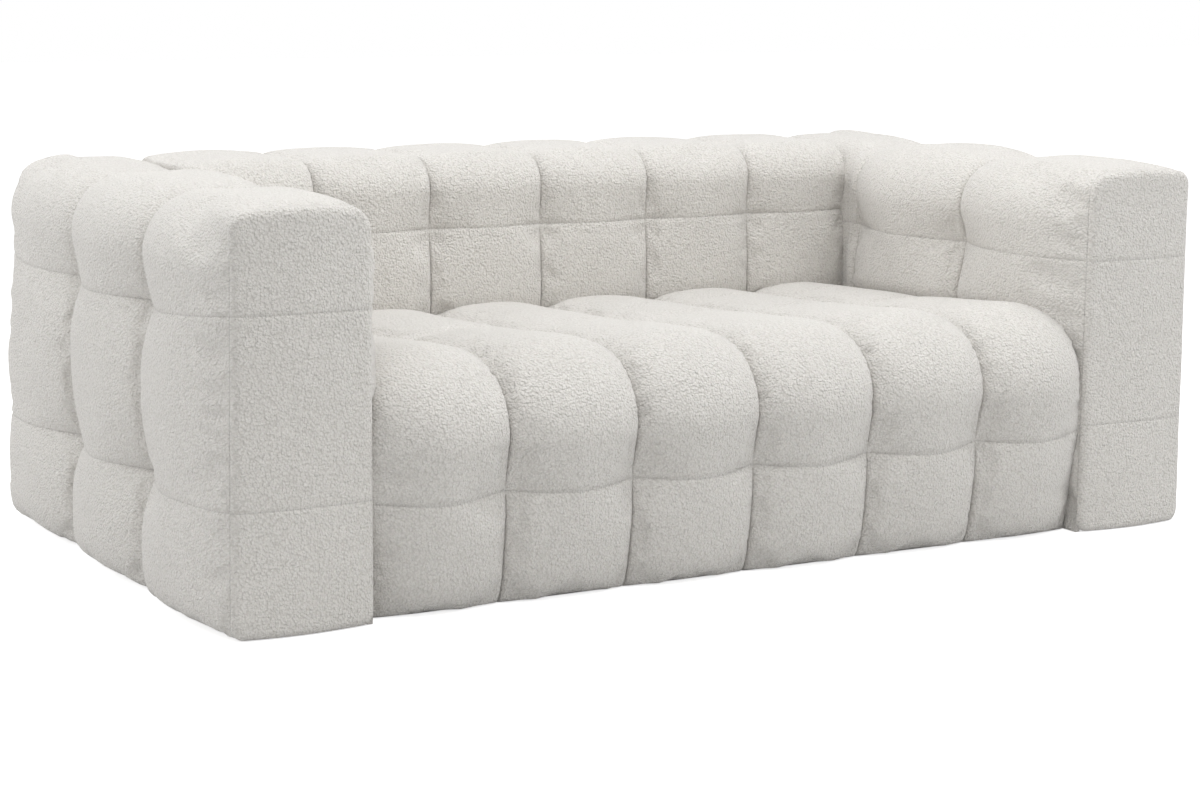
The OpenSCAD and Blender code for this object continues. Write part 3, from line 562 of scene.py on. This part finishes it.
def back_height(seams):
    pitch = 2 * unit_x / 6

    def height(s, length, channel, u, point, out, across):
        belly = fullness(s, seams, length)
        turn = turn_share(out)
        if turn > 1:
            crown = mix(back_top_crown, back_crown, turn - 1)
        else:
            crown = mix(rear_crown, back_top_crown, turn)
        if turn > 1.99:
            crown *= math.sqrt(1 - (1 - clamp((point[1] - back_foot) / back_foot_round)) ** 2)
        rise = channel_height(u, belly, crown)
        gap = (1 - abs(u)) * pitch / 2
        key = round(across / pitch) * 1.7
        rise -= gather(s, gap, back_gathers, key, u)
        rise += softness((across, point[0], point[1]), swell_scale, swell_depth) * arch(u, 2)
        return rise - seam_line(s, seams)
    return height


def end_outline(rear):
    """Lifts and corners of an end panel: the outer side, the top, the outer and the inner corner."""
    if rear:
        return rear_side_lift, rear_top_lift, rear_corner, inner_corner
    return side_lift, top_lift, outer_corner, inner_corner


def foot_cut(z):
    """How far the round corner beside the floor takes a panel's side in at height z."""
    under = clamp((hem_z + foot_corner - z) / foot_corner) * foot_corner
    return foot_corner - math.sqrt(foot_corner ** 2 - under ** 2)


def flare(z):
    """The arm's outer side is a little wider at the floor than at the top."""
    return base_flare * clamp(1 - z / (arm_top - arm_bend)) - foot_cut(z)


def end_rise(x, z):
    """The end panel's top edge is arched between its corners."""
    middle = (in_x + out_x + side_lift) / 2
    half = (out_x + side_lift - in_x) / 2
    across = clamp(1 - ((x - middle) / half) ** 2)
    return end_arch * across * clamp((z - arch_z) / arch_rise)


def end_lift(turn, out, z, rear):
    """How far the cover's end stands above its groove line, to meet the end panel's outline."""
    side, top, outer, inner = end_outline(rear)
    if turn < 0.001:
        return side + flare(z)
    if turn > 1.999:
        return 0.0
    wide = arm_bend + (side if turn < 1 else 0.0)
    return corner_reach(out, wide, arm_bend + top, outer if turn < 1 else inner) - arm_bend


def arm_height(seams):
    pitch = 2 * cover_end / 3

    def height(s, length, channel, u, point, out, across):
        turn = turn_share(out)
        inner = clamp(turn - 1)
        side = mix(low_crown, side_crown, clamp((point[1] - low_crown_z) / crown_rise))
        side += flare(point[1])
        if channel == 2:
            side += rear_fuller * clamp((rear_fuller_z - point[1]) / crown_rise)
            side -= rear_slimmer * clamp((point[1] - rear_slim_z) / rear_slim_rise)
        over = rear_top_crown if channel == 2 else top_crown
        crown = mix(side, over, turn) if turn < 1 else mix(over, inner_crown, inner)
        lift = end_lift(turn, out, point[1], channel == 2)
        if turn < 0.01:
            crown = mix(lift, crown, near_floor(point[1]))
        if inner > 0.99:
            clear = clear_z - seat_rake * clamp((across - slope_y) / slope_reach)
            clear -= clear_drop * clamp((front_clear_y - across) / front_clear_reach)
            crown *= math.sqrt(1 - (1 - clamp((point[1] - clear) / clear_round)) ** 2)
        open_end = (channel == 0 and u < 0) or (channel == 2 and u > 0)
        belly = fullness(s, seams, length)
        power = rear_wall_power if channel == 2 and turn < 1 else open_power
        if open_end:
            rise = open_height(u, belly, crown, lift, power)
        else:
            rise = channel_height(u, belly, crown)
        rise *= 1 - inner * (1 - math.sqrt(1 - clamp((across - inner_full_y) / inner_fade) ** 2))
        gap = (1 - abs(u)) * pitch / 2
        if not open_end:
            rise -= gather(s, gap, arm_gathers, channel, u)
        where = (across, point[0] * 1.3, point[1])
        rise += softness(where, arm_swell_scale, arm_swell_depth) * arch(u, 2)
        return rise - seam_line(s, seams)
    return height


def arm_droop(high):
    """The upper outer seam hangs lower at the grooves than at the panel."""
    def droop(s, v):
        share = clamp(min(v, 3 - v))
        fade = clamp(1 - abs(s - high) / droop_reach)
        return -seam_droop * math.sin(share * math.pi / 2) * fade
    return droop


def make_arm(name, sign):
    path = arm_path()
    total = sum(piece["length"] for piece in path)
    seams = [arm_low_seam - hem_z, arm_seam - hem_z, total - (arm_seam - hem_z)]

    def point(across, a, b):
        near_end = clamp((abs(across) - cover_end / 1.5) / (cover_end / 3))
        return sign * a, across, max(b + end_rise(a, b) * near_end ** 2, lowest)

    ends = (-cover_end, cover_end)
    droop = arm_droop(seams[1])
    return cover(name, path, -1, seams, 3, arm_columns, ends, arm_height(seams), point, sign, droop)


def make_seat(name):
    path = seat_path()
    seams = [path[0]["length"]]

    def point(across, a, b):
        return across, a, max(b, lowest)

    return cover(name, path, 1, seams, 6, seat_columns, (-unit_x, unit_x), seat_height(seams), point, 1)


def make_back(name):
    path = back_path()
    total = sum(piece["length"] for piece in path)
    seams = [back_seam - back_low, total - (back_seam - hem_z), total - (low_seam - hem_z)]

    def point(across, a, b):
        return across, a, b

    return cover(name, path, 1, seams, 6, back_columns, (-unit_x, unit_x), back_height(seams), point, 1)


def panel_grid(count, levels, top):
    """Shares of the panel's width and its heights, close together at the edge and the seams."""
    eased = [(1 - math.cos(math.pi * i / count)) / 2 for i in range(count + 1)]
    rows = [(1 - math.cos(math.pi * i / levels)) / 2 for i in range(levels + 1)]
    heights = [hem_z + (top - hem_z) * row for row in rows]
    fine = [seam + gap for seam in (arm_low_seam, arm_seam) for gap in seam_rows]
    heights = [h for h in heights if all(abs(h - f) > seam_room for f in fine)] + fine
    return eased, sorted(heights)


def corner_cut(z, top, corner):
    """How far a round corner takes the panel's side in at height z."""
    over = clamp((z - (top - corner)) / corner) * corner
    return corner - math.sqrt(max(corner ** 2 - over ** 2, 0.0))


def make_panel(name, sign, face):
    """A boxed end panel: a soft rounded edge and two cross seams."""
    side, top_rise, outer, inner = end_outline(face > 0)
    low_x, high_x, top = in_x, out_x + side, arm_top + top_rise
    shares, heights = panel_grid(panel_columns, panel_rows, top)
    wide = len(shares)
    verts, faces, sewn = [], [], []
    for z in heights:
        left = low_x + corner_cut(z, top, inner) + foot_cut(z)
        right = high_x + flare(z) - corner_cut(z, top, outer)
        for share in shares:
            x = mix(left, right, share)
            on_rim = share in (0.0, 1.0) or z == heights[-1]
            sewn.append(max(float(on_rim), sewn_share(z, (arm_low_seam, arm_seam))))
            edge = min(x - left, right - x, z - hem_z, top - z)
            round_off = math.sqrt(max(0.0, 1 - (1 - clamp(edge / panel_round)) ** 2))
            depth = panel_edge * round_off
            depth += (panel_depth - panel_edge) * math.sin(math.pi * share)
            depth += softness((x, z, face), arm_swell_scale, panel_swell_depth) * round_off
            for seam in (arm_low_seam, arm_seam):
                depth -= crease_depth * round_off * math.exp(-((z - seam) / crease_reach) ** 2)
            verts.append((sign * x, face * (half_length + max(depth, 0.0)), z + end_rise(x, z)))
    rows = len(heights)
    for i in range(rows - 1):
        for j in range(wide - 1):
            a = i * wide + j
            faces.append((a, a + 1, a + 1 + wide, a + wide))
    border = list(range(wide)) + [i * wide + wide - 1 for i in range(1, rows)]
    border += list(range(rows * wide - 2, (rows - 1) * wide - 1, -1))
    border += [i * wide for i in range(rows - 2, 0, -1)]
    first = len(verts)
    verts += [(verts[b][0], face * half_length, verts[b][2]) for b in border]
    loop = len(border)
    for i in range(loop):
        k = (i + 1) % loop
        faces.append((border[i], border[k], first + k, first + i))
    faces.append(tuple(range(first, first + loop)))
    return finish_mesh(name, verts, faces, sewn)


def new_group(name, numbers, outputs):
    group = bpy.data.node_groups.new(name, "ShaderNodeTree")
    for label, value in numbers.items():
        kind = "NodeSocketColor" if isinstance(value, tuple) else "NodeSocketFloat"
        socket = group.interface.new_socket(label, in_out="INPUT", socket_type=kind)
        socket.default_value = value
    for label, kind in outputs.items():
        group.interface.new_socket(label, in_out="OUTPUT", socket_type=kind)
    return group, group.nodes.new("NodeGroupInput"), group.nodes.new("NodeGroupOutput")


def math_node(tree, operation, first, second=None, clamped=False):
    node = tree.nodes.new("ShaderNodeMath")
    node.operation = operation
    node.use_clamp = clamped
    for socket, value in zip(node.inputs, (first, second)):
        if value is None:
            continue
        if isinstance(value, (int, float)):
            socket.default_value = value
        else:
            tree.links.new(value, socket)
    return node.outputs[0]


def mix_colours(tree, share, first, second):
    node = tree.nodes.new("ShaderNodeMix")
    node.data_type = "RGBA"
    for socket, value in zip((node.inputs[0], node.inputs[6], node.inputs[7]), (share, first, second)):
        if isinstance(value, (int, float)):
            socket.default_value = value
        elif isinstance(value, tuple):
            socket.default_value = (*value[:3], 1.0)
        else:
            tree.links.new(value, socket)
    return node.outputs[2]


def noise_node(tree, where, scale, detail=2.0, rough=0.5):
    node = tree.nodes.new("ShaderNodeTexNoise")
    tree.links.new(where, node.inputs["Vector"])
    if isinstance(scale, (int, float)):
        node.inputs["Scale"].default_value = scale
    else:
        tree.links.new(scale, node.inputs["Scale"])
    node.inputs["Detail"].default_value = detail
    node.inputs["Roughness"].default_value = rough
    return node


def boucle_group():
    """Curled loops of yarn: rounded bumps and larger clumps, with painted shade darkening the gaps between
    the loops.
    """
    group, given, made = new_group(
        "boucle loops",
        {
            "Colour": (0.8, 0.8, 0.8, 1.0), "Gap Shade Colour": (0.5, 0.5, 0.5, 1.0),
            "Loops a Metre": 230.0, "Wander": 0.004,
        },
        {"Colour": "NodeSocketColor", "Roughness": "NodeSocketFloat", "Height": "NodeSocketFloat"})
    where = group.nodes.new("ShaderNodeTexCoord").outputs["Object"]
    curl = noise_node(group, where, 170.0, 2.0)
    centred = group.nodes.new("ShaderNodeVectorMath")
    centred.operation = "SUBTRACT"
    centred.inputs[1].default_value = (0.5, 0.5, 0.5)
    group.links.new(curl.outputs["Color"], centred.inputs[0])
    pushed = group.nodes.new("ShaderNodeVectorMath")
    pushed.operation = "SCALE"
    group.links.new(centred.outputs[0], pushed.inputs[0])
    group.links.new(given.outputs["Wander"], pushed.inputs["Scale"])
    moved = group.nodes.new("ShaderNodeVectorMath")
    moved.operation = "ADD"
    group.links.new(where, moved.inputs[0])
    group.links.new(pushed.outputs[0], moved.inputs[1])
    loops = group.nodes.new("ShaderNodeTexVoronoi")
    loops.feature = "SMOOTH_F1"
    loops.inputs["Smoothness"].default_value = 0.35
    group.links.new(moved.outputs[0], loops.inputs["Vector"])
    group.links.new(given.outputs["Loops a Metre"], loops.inputs["Scale"])
    round_top = math_node(group, "SUBTRACT", 1.0, math_node(group, "POWER", loops.outputs["Distance"], 1.6))
    fibre = noise_node(group, where, 900.0, 1.0).outputs["Fac"]
    clump = noise_node(group, where, 70.0, 2.0).outputs["Fac"]
    high = math_node(group, "ADD", round_top, math_node(group, "MULTIPLY", fibre, 0.35))
    high = math_node(group, "ADD", high, math_node(group, "MULTIPLY", clump, 0.3))
    group.links.new(high, made.inputs["Height"])
    # Painted shade: the colour is pulled towards the gap colour where the loops sit low, in the gaps
    # between them.
    unshaded_share = math_node(group, "MULTIPLY", math_node(group, "SUBTRACT", high, 0.75), 1.6, True)
    group.links.new(mix_colours(group, unshaded_share, given.outputs["Gap Shade Colour"], given.outputs["Colour"]),
                    made.inputs["Colour"])
    group.links.new(math_node(group, "SUBTRACT", 1.0, math_node(group, "MULTIPLY", fibre, 0.15)),
                    made.inputs["Roughness"])
    return group


def new_material(name, rough, sheen=0.0, metal=0.0):
    material = bpy.data.materials.new(name)
    material.use_nodes = True
    shader = material.node_tree.nodes["Principled BSDF"]
    shader.inputs["Roughness"].default_value = rough
    shader.inputs["Metallic"].default_value = metal
    shader.inputs["Sheen Weight"].default_value = sheen
    shader.inputs["Sheen Roughness"].default_value = 0.5
    return material, material.node_tree, shader


def add_bump(tree, shader, height, strength, distance):
    bump = tree.nodes.new("ShaderNodeBump")
    bump.inputs["Strength"].default_value = strength
    bump.inputs["Distance"].default_value = distance
    tree.links.new(height, bump.inputs["Height"])
    tree.links.new(bump.outputs["Normal"], shader.inputs["Normal"])


def boucle_cloth(group):
    material, tree, shader = new_material("off-white boucle", 0.95, 0.5)
    shader.inputs["Specular IOR Level"].default_value = 0.15
    loops = tree.nodes.new("ShaderNodeGroup")
    loops.node_tree = group
    loops.inputs["Colour"].default_value = (0.84, 0.815, 0.78, 1.0)
    # A darker tone for the painted shade in the gaps between the loops.
    loops.inputs["Gap Shade Colour"].default_value = (0.70, 0.675, 0.635, 1.0)
    loops.inputs["Loops a Metre"].default_value = 250.0
    loops.inputs["Wander"].default_value = 0.004
    marks = tree.nodes.new("ShaderNodeAttribute")
    marks.attribute_name = "sewn"
    # Painted shade along the seams and the panels' rims: the colour is pulled towards a dark brown where
    # the sewn mark is set.
    line = math_node(tree, "MULTIPLY", marks.outputs["Fac"], 0.30, True)
    colour = mix_colours(tree, line, loops.outputs["Colour"], (0.30, 0.285, 0.26))
    tree.links.new(colour, shader.inputs["Base Color"])
    tree.links.new(loops.outputs["Roughness"], shader.inputs["Roughness"])
    add_bump(tree, shader, loops.outputs["Height"], 1.0, 0.0036)
    return material


def grain_group():
    """Long rings and fine pores of sawn timber, along the piece's length."""
    group, given, made = new_group(
        "wood grain",
        {"Light": (0.6, 0.4, 0.2, 1.0), "Dark": (0.4, 0.25, 0.1, 1.0), "Rings a Metre": 60.0},
        {"Colour": "NodeSocketColor", "Roughness": "NodeSocketFloat", "Height": "NodeSocketFloat"})
    where = group.nodes.new("ShaderNodeTexCoord").outputs["Object"]
    drawn = group.nodes.new("ShaderNodeMapping")
    drawn.inputs["Scale"].default_value = (0.12, 1.0, 1.0)
    group.links.new(where, drawn.inputs["Vector"])
    wander = noise_node(group, drawn.outputs[0], 14.0, 3.0).outputs["Fac"]
    rings = group.nodes.new("ShaderNodeTexWave")
    rings.bands_direction = "Z"
    rings.inputs["Distortion"].default_value = 3.0
    group.links.new(drawn.outputs[0], rings.inputs["Vector"])
    group.links.new(given.outputs["Rings a Metre"], rings.inputs["Scale"])
    pores = noise_node(group, drawn.outputs[0], 900.0, 2.0).outputs["Fac"]
    share = math_node(group, "MULTIPLY", rings.outputs["Fac"], 0.45)
    share = math_node(group, "ADD", share, math_node(group, "MULTIPLY", wander, 0.5))
    share = math_node(group, "ADD", share, math_node(group, "MULTIPLY", pores, 0.15), True)
    colour = mix_colours(group, share, given.outputs["Light"], given.outputs["Dark"])
    group.links.new(colour, made.inputs["Colour"])
    rough = math_node(group, "ADD", 0.5, math_node(group, "MULTIPLY", pores, 0.25))
    group.links.new(rough, made.inputs["Roughness"])
    group.links.new(pores, made.inputs["Height"])
    return group


def weave_group():
    """Threads over and under each other in two directions."""
    group, given, made = new_group(
        "plain weave",
        {"Thread": (0.1, 0.1, 0.1, 1.0), "Gap": (0.02, 0.02, 0.02, 1.0), "Threads a Metre": 600.0},
        {"Colour": "NodeSocketColor", "Roughness": "NodeSocketFloat", "Height": "NodeSocketFloat"})
    where = group.nodes.new("ShaderNodeTexCoord").outputs["Object"]
    apart = group.nodes.new("ShaderNodeSeparateXYZ")
    group.links.new(where, apart.inputs[0])
    turn = math_node(group, "MULTIPLY", given.outputs["Threads a Metre"], math.pi)
    lean = math_node(group, "MULTIPLY", apart.outputs["Z"], 0.5)
    sets = []
    for axis in ("X", "Y"):
        along = math_node(group, "ADD", apart.outputs[axis], lean)
        wave = math_node(group, "SINE", math_node(group, "MULTIPLY", along, turn))
        sets.append(math_node(group, "ABSOLUTE", wave))
    thread = math_node(group, "MULTIPLY", *sets)
    fuzz = noise_node(group, where, 350.0, 3.0).outputs["Fac"]
    raised = math_node(group, "MULTIPLY", thread, 0.8)
    high = math_node(group, "ADD", raised, math_node(group, "MULTIPLY", fuzz, 0.3))
    colour = mix_colours(group, high, given.outputs["Gap"], given.outputs["Thread"])
    group.links.new(colour, made.inputs["Colour"])
    rough = math_node(group, "ADD", 0.7, math_node(group, "MULTIPLY", fuzz, 0.25))
    group.links.new(rough, made.inputs["Roughness"])
    group.links.new(high, made.inputs["Height"])
    return group


def from_group(name, group, values, depth, sheen=0.0):
    """A material whose colour, roughness and surface come from one of the groups."""
    material, tree, shader = new_material(name, 0.7, sheen)
    effect = tree.nodes.new("ShaderNodeGroup")
    effect.node_tree = group
    for label, value in values.items():
        effect.inputs[label].default_value = (*value, 1.0) if isinstance(value, tuple) else value
    tree.links.new(effect.outputs["Colour"], shader.inputs["Base Color"])
    tree.links.new(effect.outputs["Roughness"], shader.inputs["Roughness"])
    add_bump(tree, shader, effect.outputs["Height"], 0.7, depth)
    return material


def foam_finish():
    """Open cells of cut foam."""
    material, tree, shader = new_material("cut foam", 0.9, 0.1)
    where = tree.nodes.new("ShaderNodeTexCoord").outputs["Object"]
    cells = tree.nodes.new("ShaderNodeTexVoronoi")
    cells.inputs["Scale"].default_value = 700.0
    tree.links.new(where, cells.inputs["Vector"])
    patch = noise_node(tree, where, 9.0, 3.0).outputs["Fac"]
    aged = mix_colours(tree, patch, (0.86, 0.79, 0.55), (0.80, 0.69, 0.40))
    colour = mix_colours(tree, cells.outputs["Distance"], aged, (0.90, 0.84, 0.62))
    tree.links.new(colour, shader.inputs["Base Color"])
    add_bump(tree, shader, cells.outputs["Distance"], 0.7, 0.0008)
    return material


def steel_finish():
    """Drawn wire and pressed steel with a thin dull film."""
    material, tree, shader = new_material("spring steel", 0.35, 0.0, 1.0)
    where = tree.nodes.new("ShaderNodeTexCoord").outputs["Object"]
    film = noise_node(tree, where, 55.0, 4.0).outputs["Fac"]
    lines = noise_node(tree, where, 1500.0, 1.0).outputs["Fac"]
    colour = mix_colours(tree, film, (0.42, 0.43, 0.46), (0.26, 0.27, 0.29))
    tree.links.new(colour, shader.inputs["Base Color"])
    rough = math_node(tree, "ADD", 0.25, math_node(tree, "MULTIPLY", film, 0.3))
    tree.links.new(rough, shader.inputs["Roughness"])
    add_bump(tree, shader, lines, 0.3, 0.0001)
    return material


def nylon_finish():
    """Moulded nylon, a little scuffed where it slides."""
    material, tree, shader = new_material("black nylon glide", 0.45)
    where = tree.nodes.new("ShaderNodeTexCoord").outputs["Object"]
    scuffs = noise_node(tree, where, 260.0, 4.0, 0.7).outputs["Fac"]
    colour = mix_colours(tree, scuffs, (0.008, 0.008, 0.009), (0.05, 0.05, 0.052))
    tree.links.new(colour, shader.inputs["Base Color"])
    rough = math_node(tree, "ADD", 0.3, math_node(tree, "MULTIPLY", scuffs, 0.35))
    tree.links.new(rough, shader.inputs["Roughness"])
    add_bump(tree, shader, scuffs, 0.4, 0.0002)
    return material


def make_finishes():
    grain, weave = grain_group(), weave_group()
    pine = {"Light": (0.66, 0.45, 0.23), "Dark": (0.47, 0.28, 0.12), "Rings a Metre": 55.0}
    veneer = {"Light": (0.45, 0.28, 0.13), "Dark": (0.27, 0.15, 0.065), "Rings a Metre": 30.0}
    fleece = {"Thread": (0.24, 0.24, 0.22), "Gap": (0.10, 0.10, 0.09), "Threads a Metre": 450.0}
    lining_cloth = {"Thread": (0.035, 0.035, 0.038), "Gap": (0.008, 0.008, 0.008), "Threads a Metre": 900.0}
    elastic = {"Thread": (0.05, 0.05, 0.052), "Gap": (0.012, 0.012, 0.012), "Threads a Metre": 500.0}
    return {
        "cloth": boucle_cloth(boucle_group()),
        "foam": foam_finish(),
        "felt": from_group("insulator felt", weave, fleece, 0.0008, 0.2),
        "dust_cloth": from_group("black dust cloth", weave, lining_cloth, 0.0003),
        "webbing": from_group("elastic webbing", weave, elastic, 0.0006, 0.1),
        "timber": from_group("pine rail", grain, pine, 0.0003),
        "board": from_group("plywood", grain, veneer, 0.0002),
        "steel": steel_finish(),
        "glide_plastic": nylon_finish(),
    }


def dress_frame(finishes):
    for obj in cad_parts.values():
        for place in obj.material_slots:
            place.material = finishes[place.material.name.split(".")[0]]


def put_on(obj, nodes, finish):
    obj.data.materials.append(finish)
    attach(obj, "root")
    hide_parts(*nodes)


def make_covers(finish):
    put_on(make_seat("seat_padding"), ["seat_cover"], finish)
    put_on(make_back("back_padding"), ["back_cover"], finish)
    for hand, sign in (("left", -1), ("right", 1)):
        put_on(make_arm(hand + "_arm_padding", sign), [hand + "_arm_cover"], finish)
        put_on(make_panel(hand + "_front_pad", sign, -1), [hand + "_arm_front_panel"], finish)
        put_on(make_panel(hand + "_rear_pad", sign, 1), [hand + "_arm_rear_panel"], finish)


def make_floor():
    bpy.ops.object.select_all(action="DESELECT")
    bpy.ops.mesh.primitive_plane_add(size=40, location=(0, 0, 0))
    floor = bpy.context.active_object
    floor.name = "floor"
    material = bpy.data.materials.new("pale floor")
    material.use_nodes = True
    tree = material.node_tree
    shader = tree.nodes["Principled BSDF"]
    shader.inputs["Base Color"].default_value = (0.70, 0.70, 0.70, 1.0)
    shader.inputs["Roughness"].default_value = 0.9
    shader.inputs["Specular IOR Level"].default_value = 0.1
    path = tree.nodes.new("ShaderNodeLightPath")
    seen = math_node(tree, "ADD", path.outputs["Is Camera Ray"], path.outputs["Is Glossy Ray"], True)
    seen = math_node(tree, "ADD", seen, path.outputs["Is Transmission Ray"], True)
    glow = math_node(tree, "MULTIPLY", seen, floor_glow)
    shader.inputs["Emission Color"].default_value = (1.0, 1.0, 1.0, 1.0)
    tree.links.new(glow, shader.inputs["Emission Strength"])
    floor.data.materials.append(material)


def make_world():
    world = bpy.data.worlds.new("studio")
    bpy.context.scene.world = world
    world.use_nodes = True
    tree = world.node_tree
    lit = tree.nodes["Background"]
    lit.inputs["Color"].default_value = (1.0, 1.0, 1.0, 1.0)
    lit.inputs["Strength"].default_value = world_strength
    white = tree.nodes.new("ShaderNodeBackground")
    white.inputs["Color"].default_value = (1.0, 1.0, 1.0, 1.0)
    white.inputs["Strength"].default_value = 1.0
    path = tree.nodes.new("ShaderNodeLightPath")
    seen = math_node(tree, "ADD", path.outputs["Is Camera Ray"], path.outputs["Is Glossy Ray"], True)
    seen = math_node(tree, "ADD", seen, path.outputs["Is Transmission Ray"], True)
    blend = tree.nodes.new("ShaderNodeMixShader")
    tree.links.new(seen, blend.inputs[0])
    tree.links.new(lit.outputs[0], blend.inputs[1])
    tree.links.new(white.outputs[0], blend.inputs[2])
    tree.links.new(blend.outputs[0], tree.nodes["World Output"].inputs["Surface"])


def add_lamp(name, place, aim, size, watts):
    data = bpy.data.lights.new(name, "AREA")
    data.shape = "RECTANGLE"
    data.size, data.size_y = size
    data.energy = watts
    lamp = bpy.data.objects.new(name, data)
    lamp.location = place
    lamp.rotation_euler = (Vector(aim) - Vector(place)).to_track_quat("-Z", "Y").to_euler()
    bpy.context.scene.collection.objects.link(lamp)


def make_lights():
    make_world()
    add_lamp("overhead lamp", (0.0, -0.9, 3.6), (0.0, 0.0, 0.3), (4.8, 3.2), top_lamp_watts)
    add_lamp("left lamp", (-4.0, 2.6, 2.0), (0.0, 0.0, 0.3), (3.0, 2.5), left_lamp_watts)
    add_lamp("right lamp", (4.2, -2.6, 1.8), (0.0, 0.0, 0.3), (3.0, 2.5), right_lamp_watts)


def make_camera():
    """The photograph's view: front left and a little above, through a long lens."""
    yaw, pitch, roll = 0.5187, -0.1719, 0.0092
    ahead = Vector((math.sin(yaw) * math.cos(pitch), math.cos(yaw) * math.cos(pitch), math.sin(pitch)))
    level = Vector((math.cos(yaw), -math.sin(yaw), 0.0))
    above = level.cross(ahead)
    right = level * math.cos(roll) + above * math.sin(roll)
    up = above * math.cos(roll) - level * math.sin(roll)
    data = bpy.data.cameras.new("camera")
    data.sensor_width = 36.0
    data.lens = 77.46
    data.clip_end = 100.0
    camera = bpy.data.objects.new("camera", data)
    turn = Matrix((right, up, -ahead)).transposed().to_4x4()
    camera.matrix_world = Matrix.Translation((-2.4748, -4.335, 1.099)) @ turn
    bpy.context.scene.collection.objects.link(camera)
    bpy.context.scene.camera = camera


bpy.context.scene.view_settings.view_transform = "Standard"
make_camera()
make_lights()
make_floor()
finishes = make_finishes()
dress_frame(finishes)
make_covers(finishes["cloth"])
bpy.context.view_layer.update()
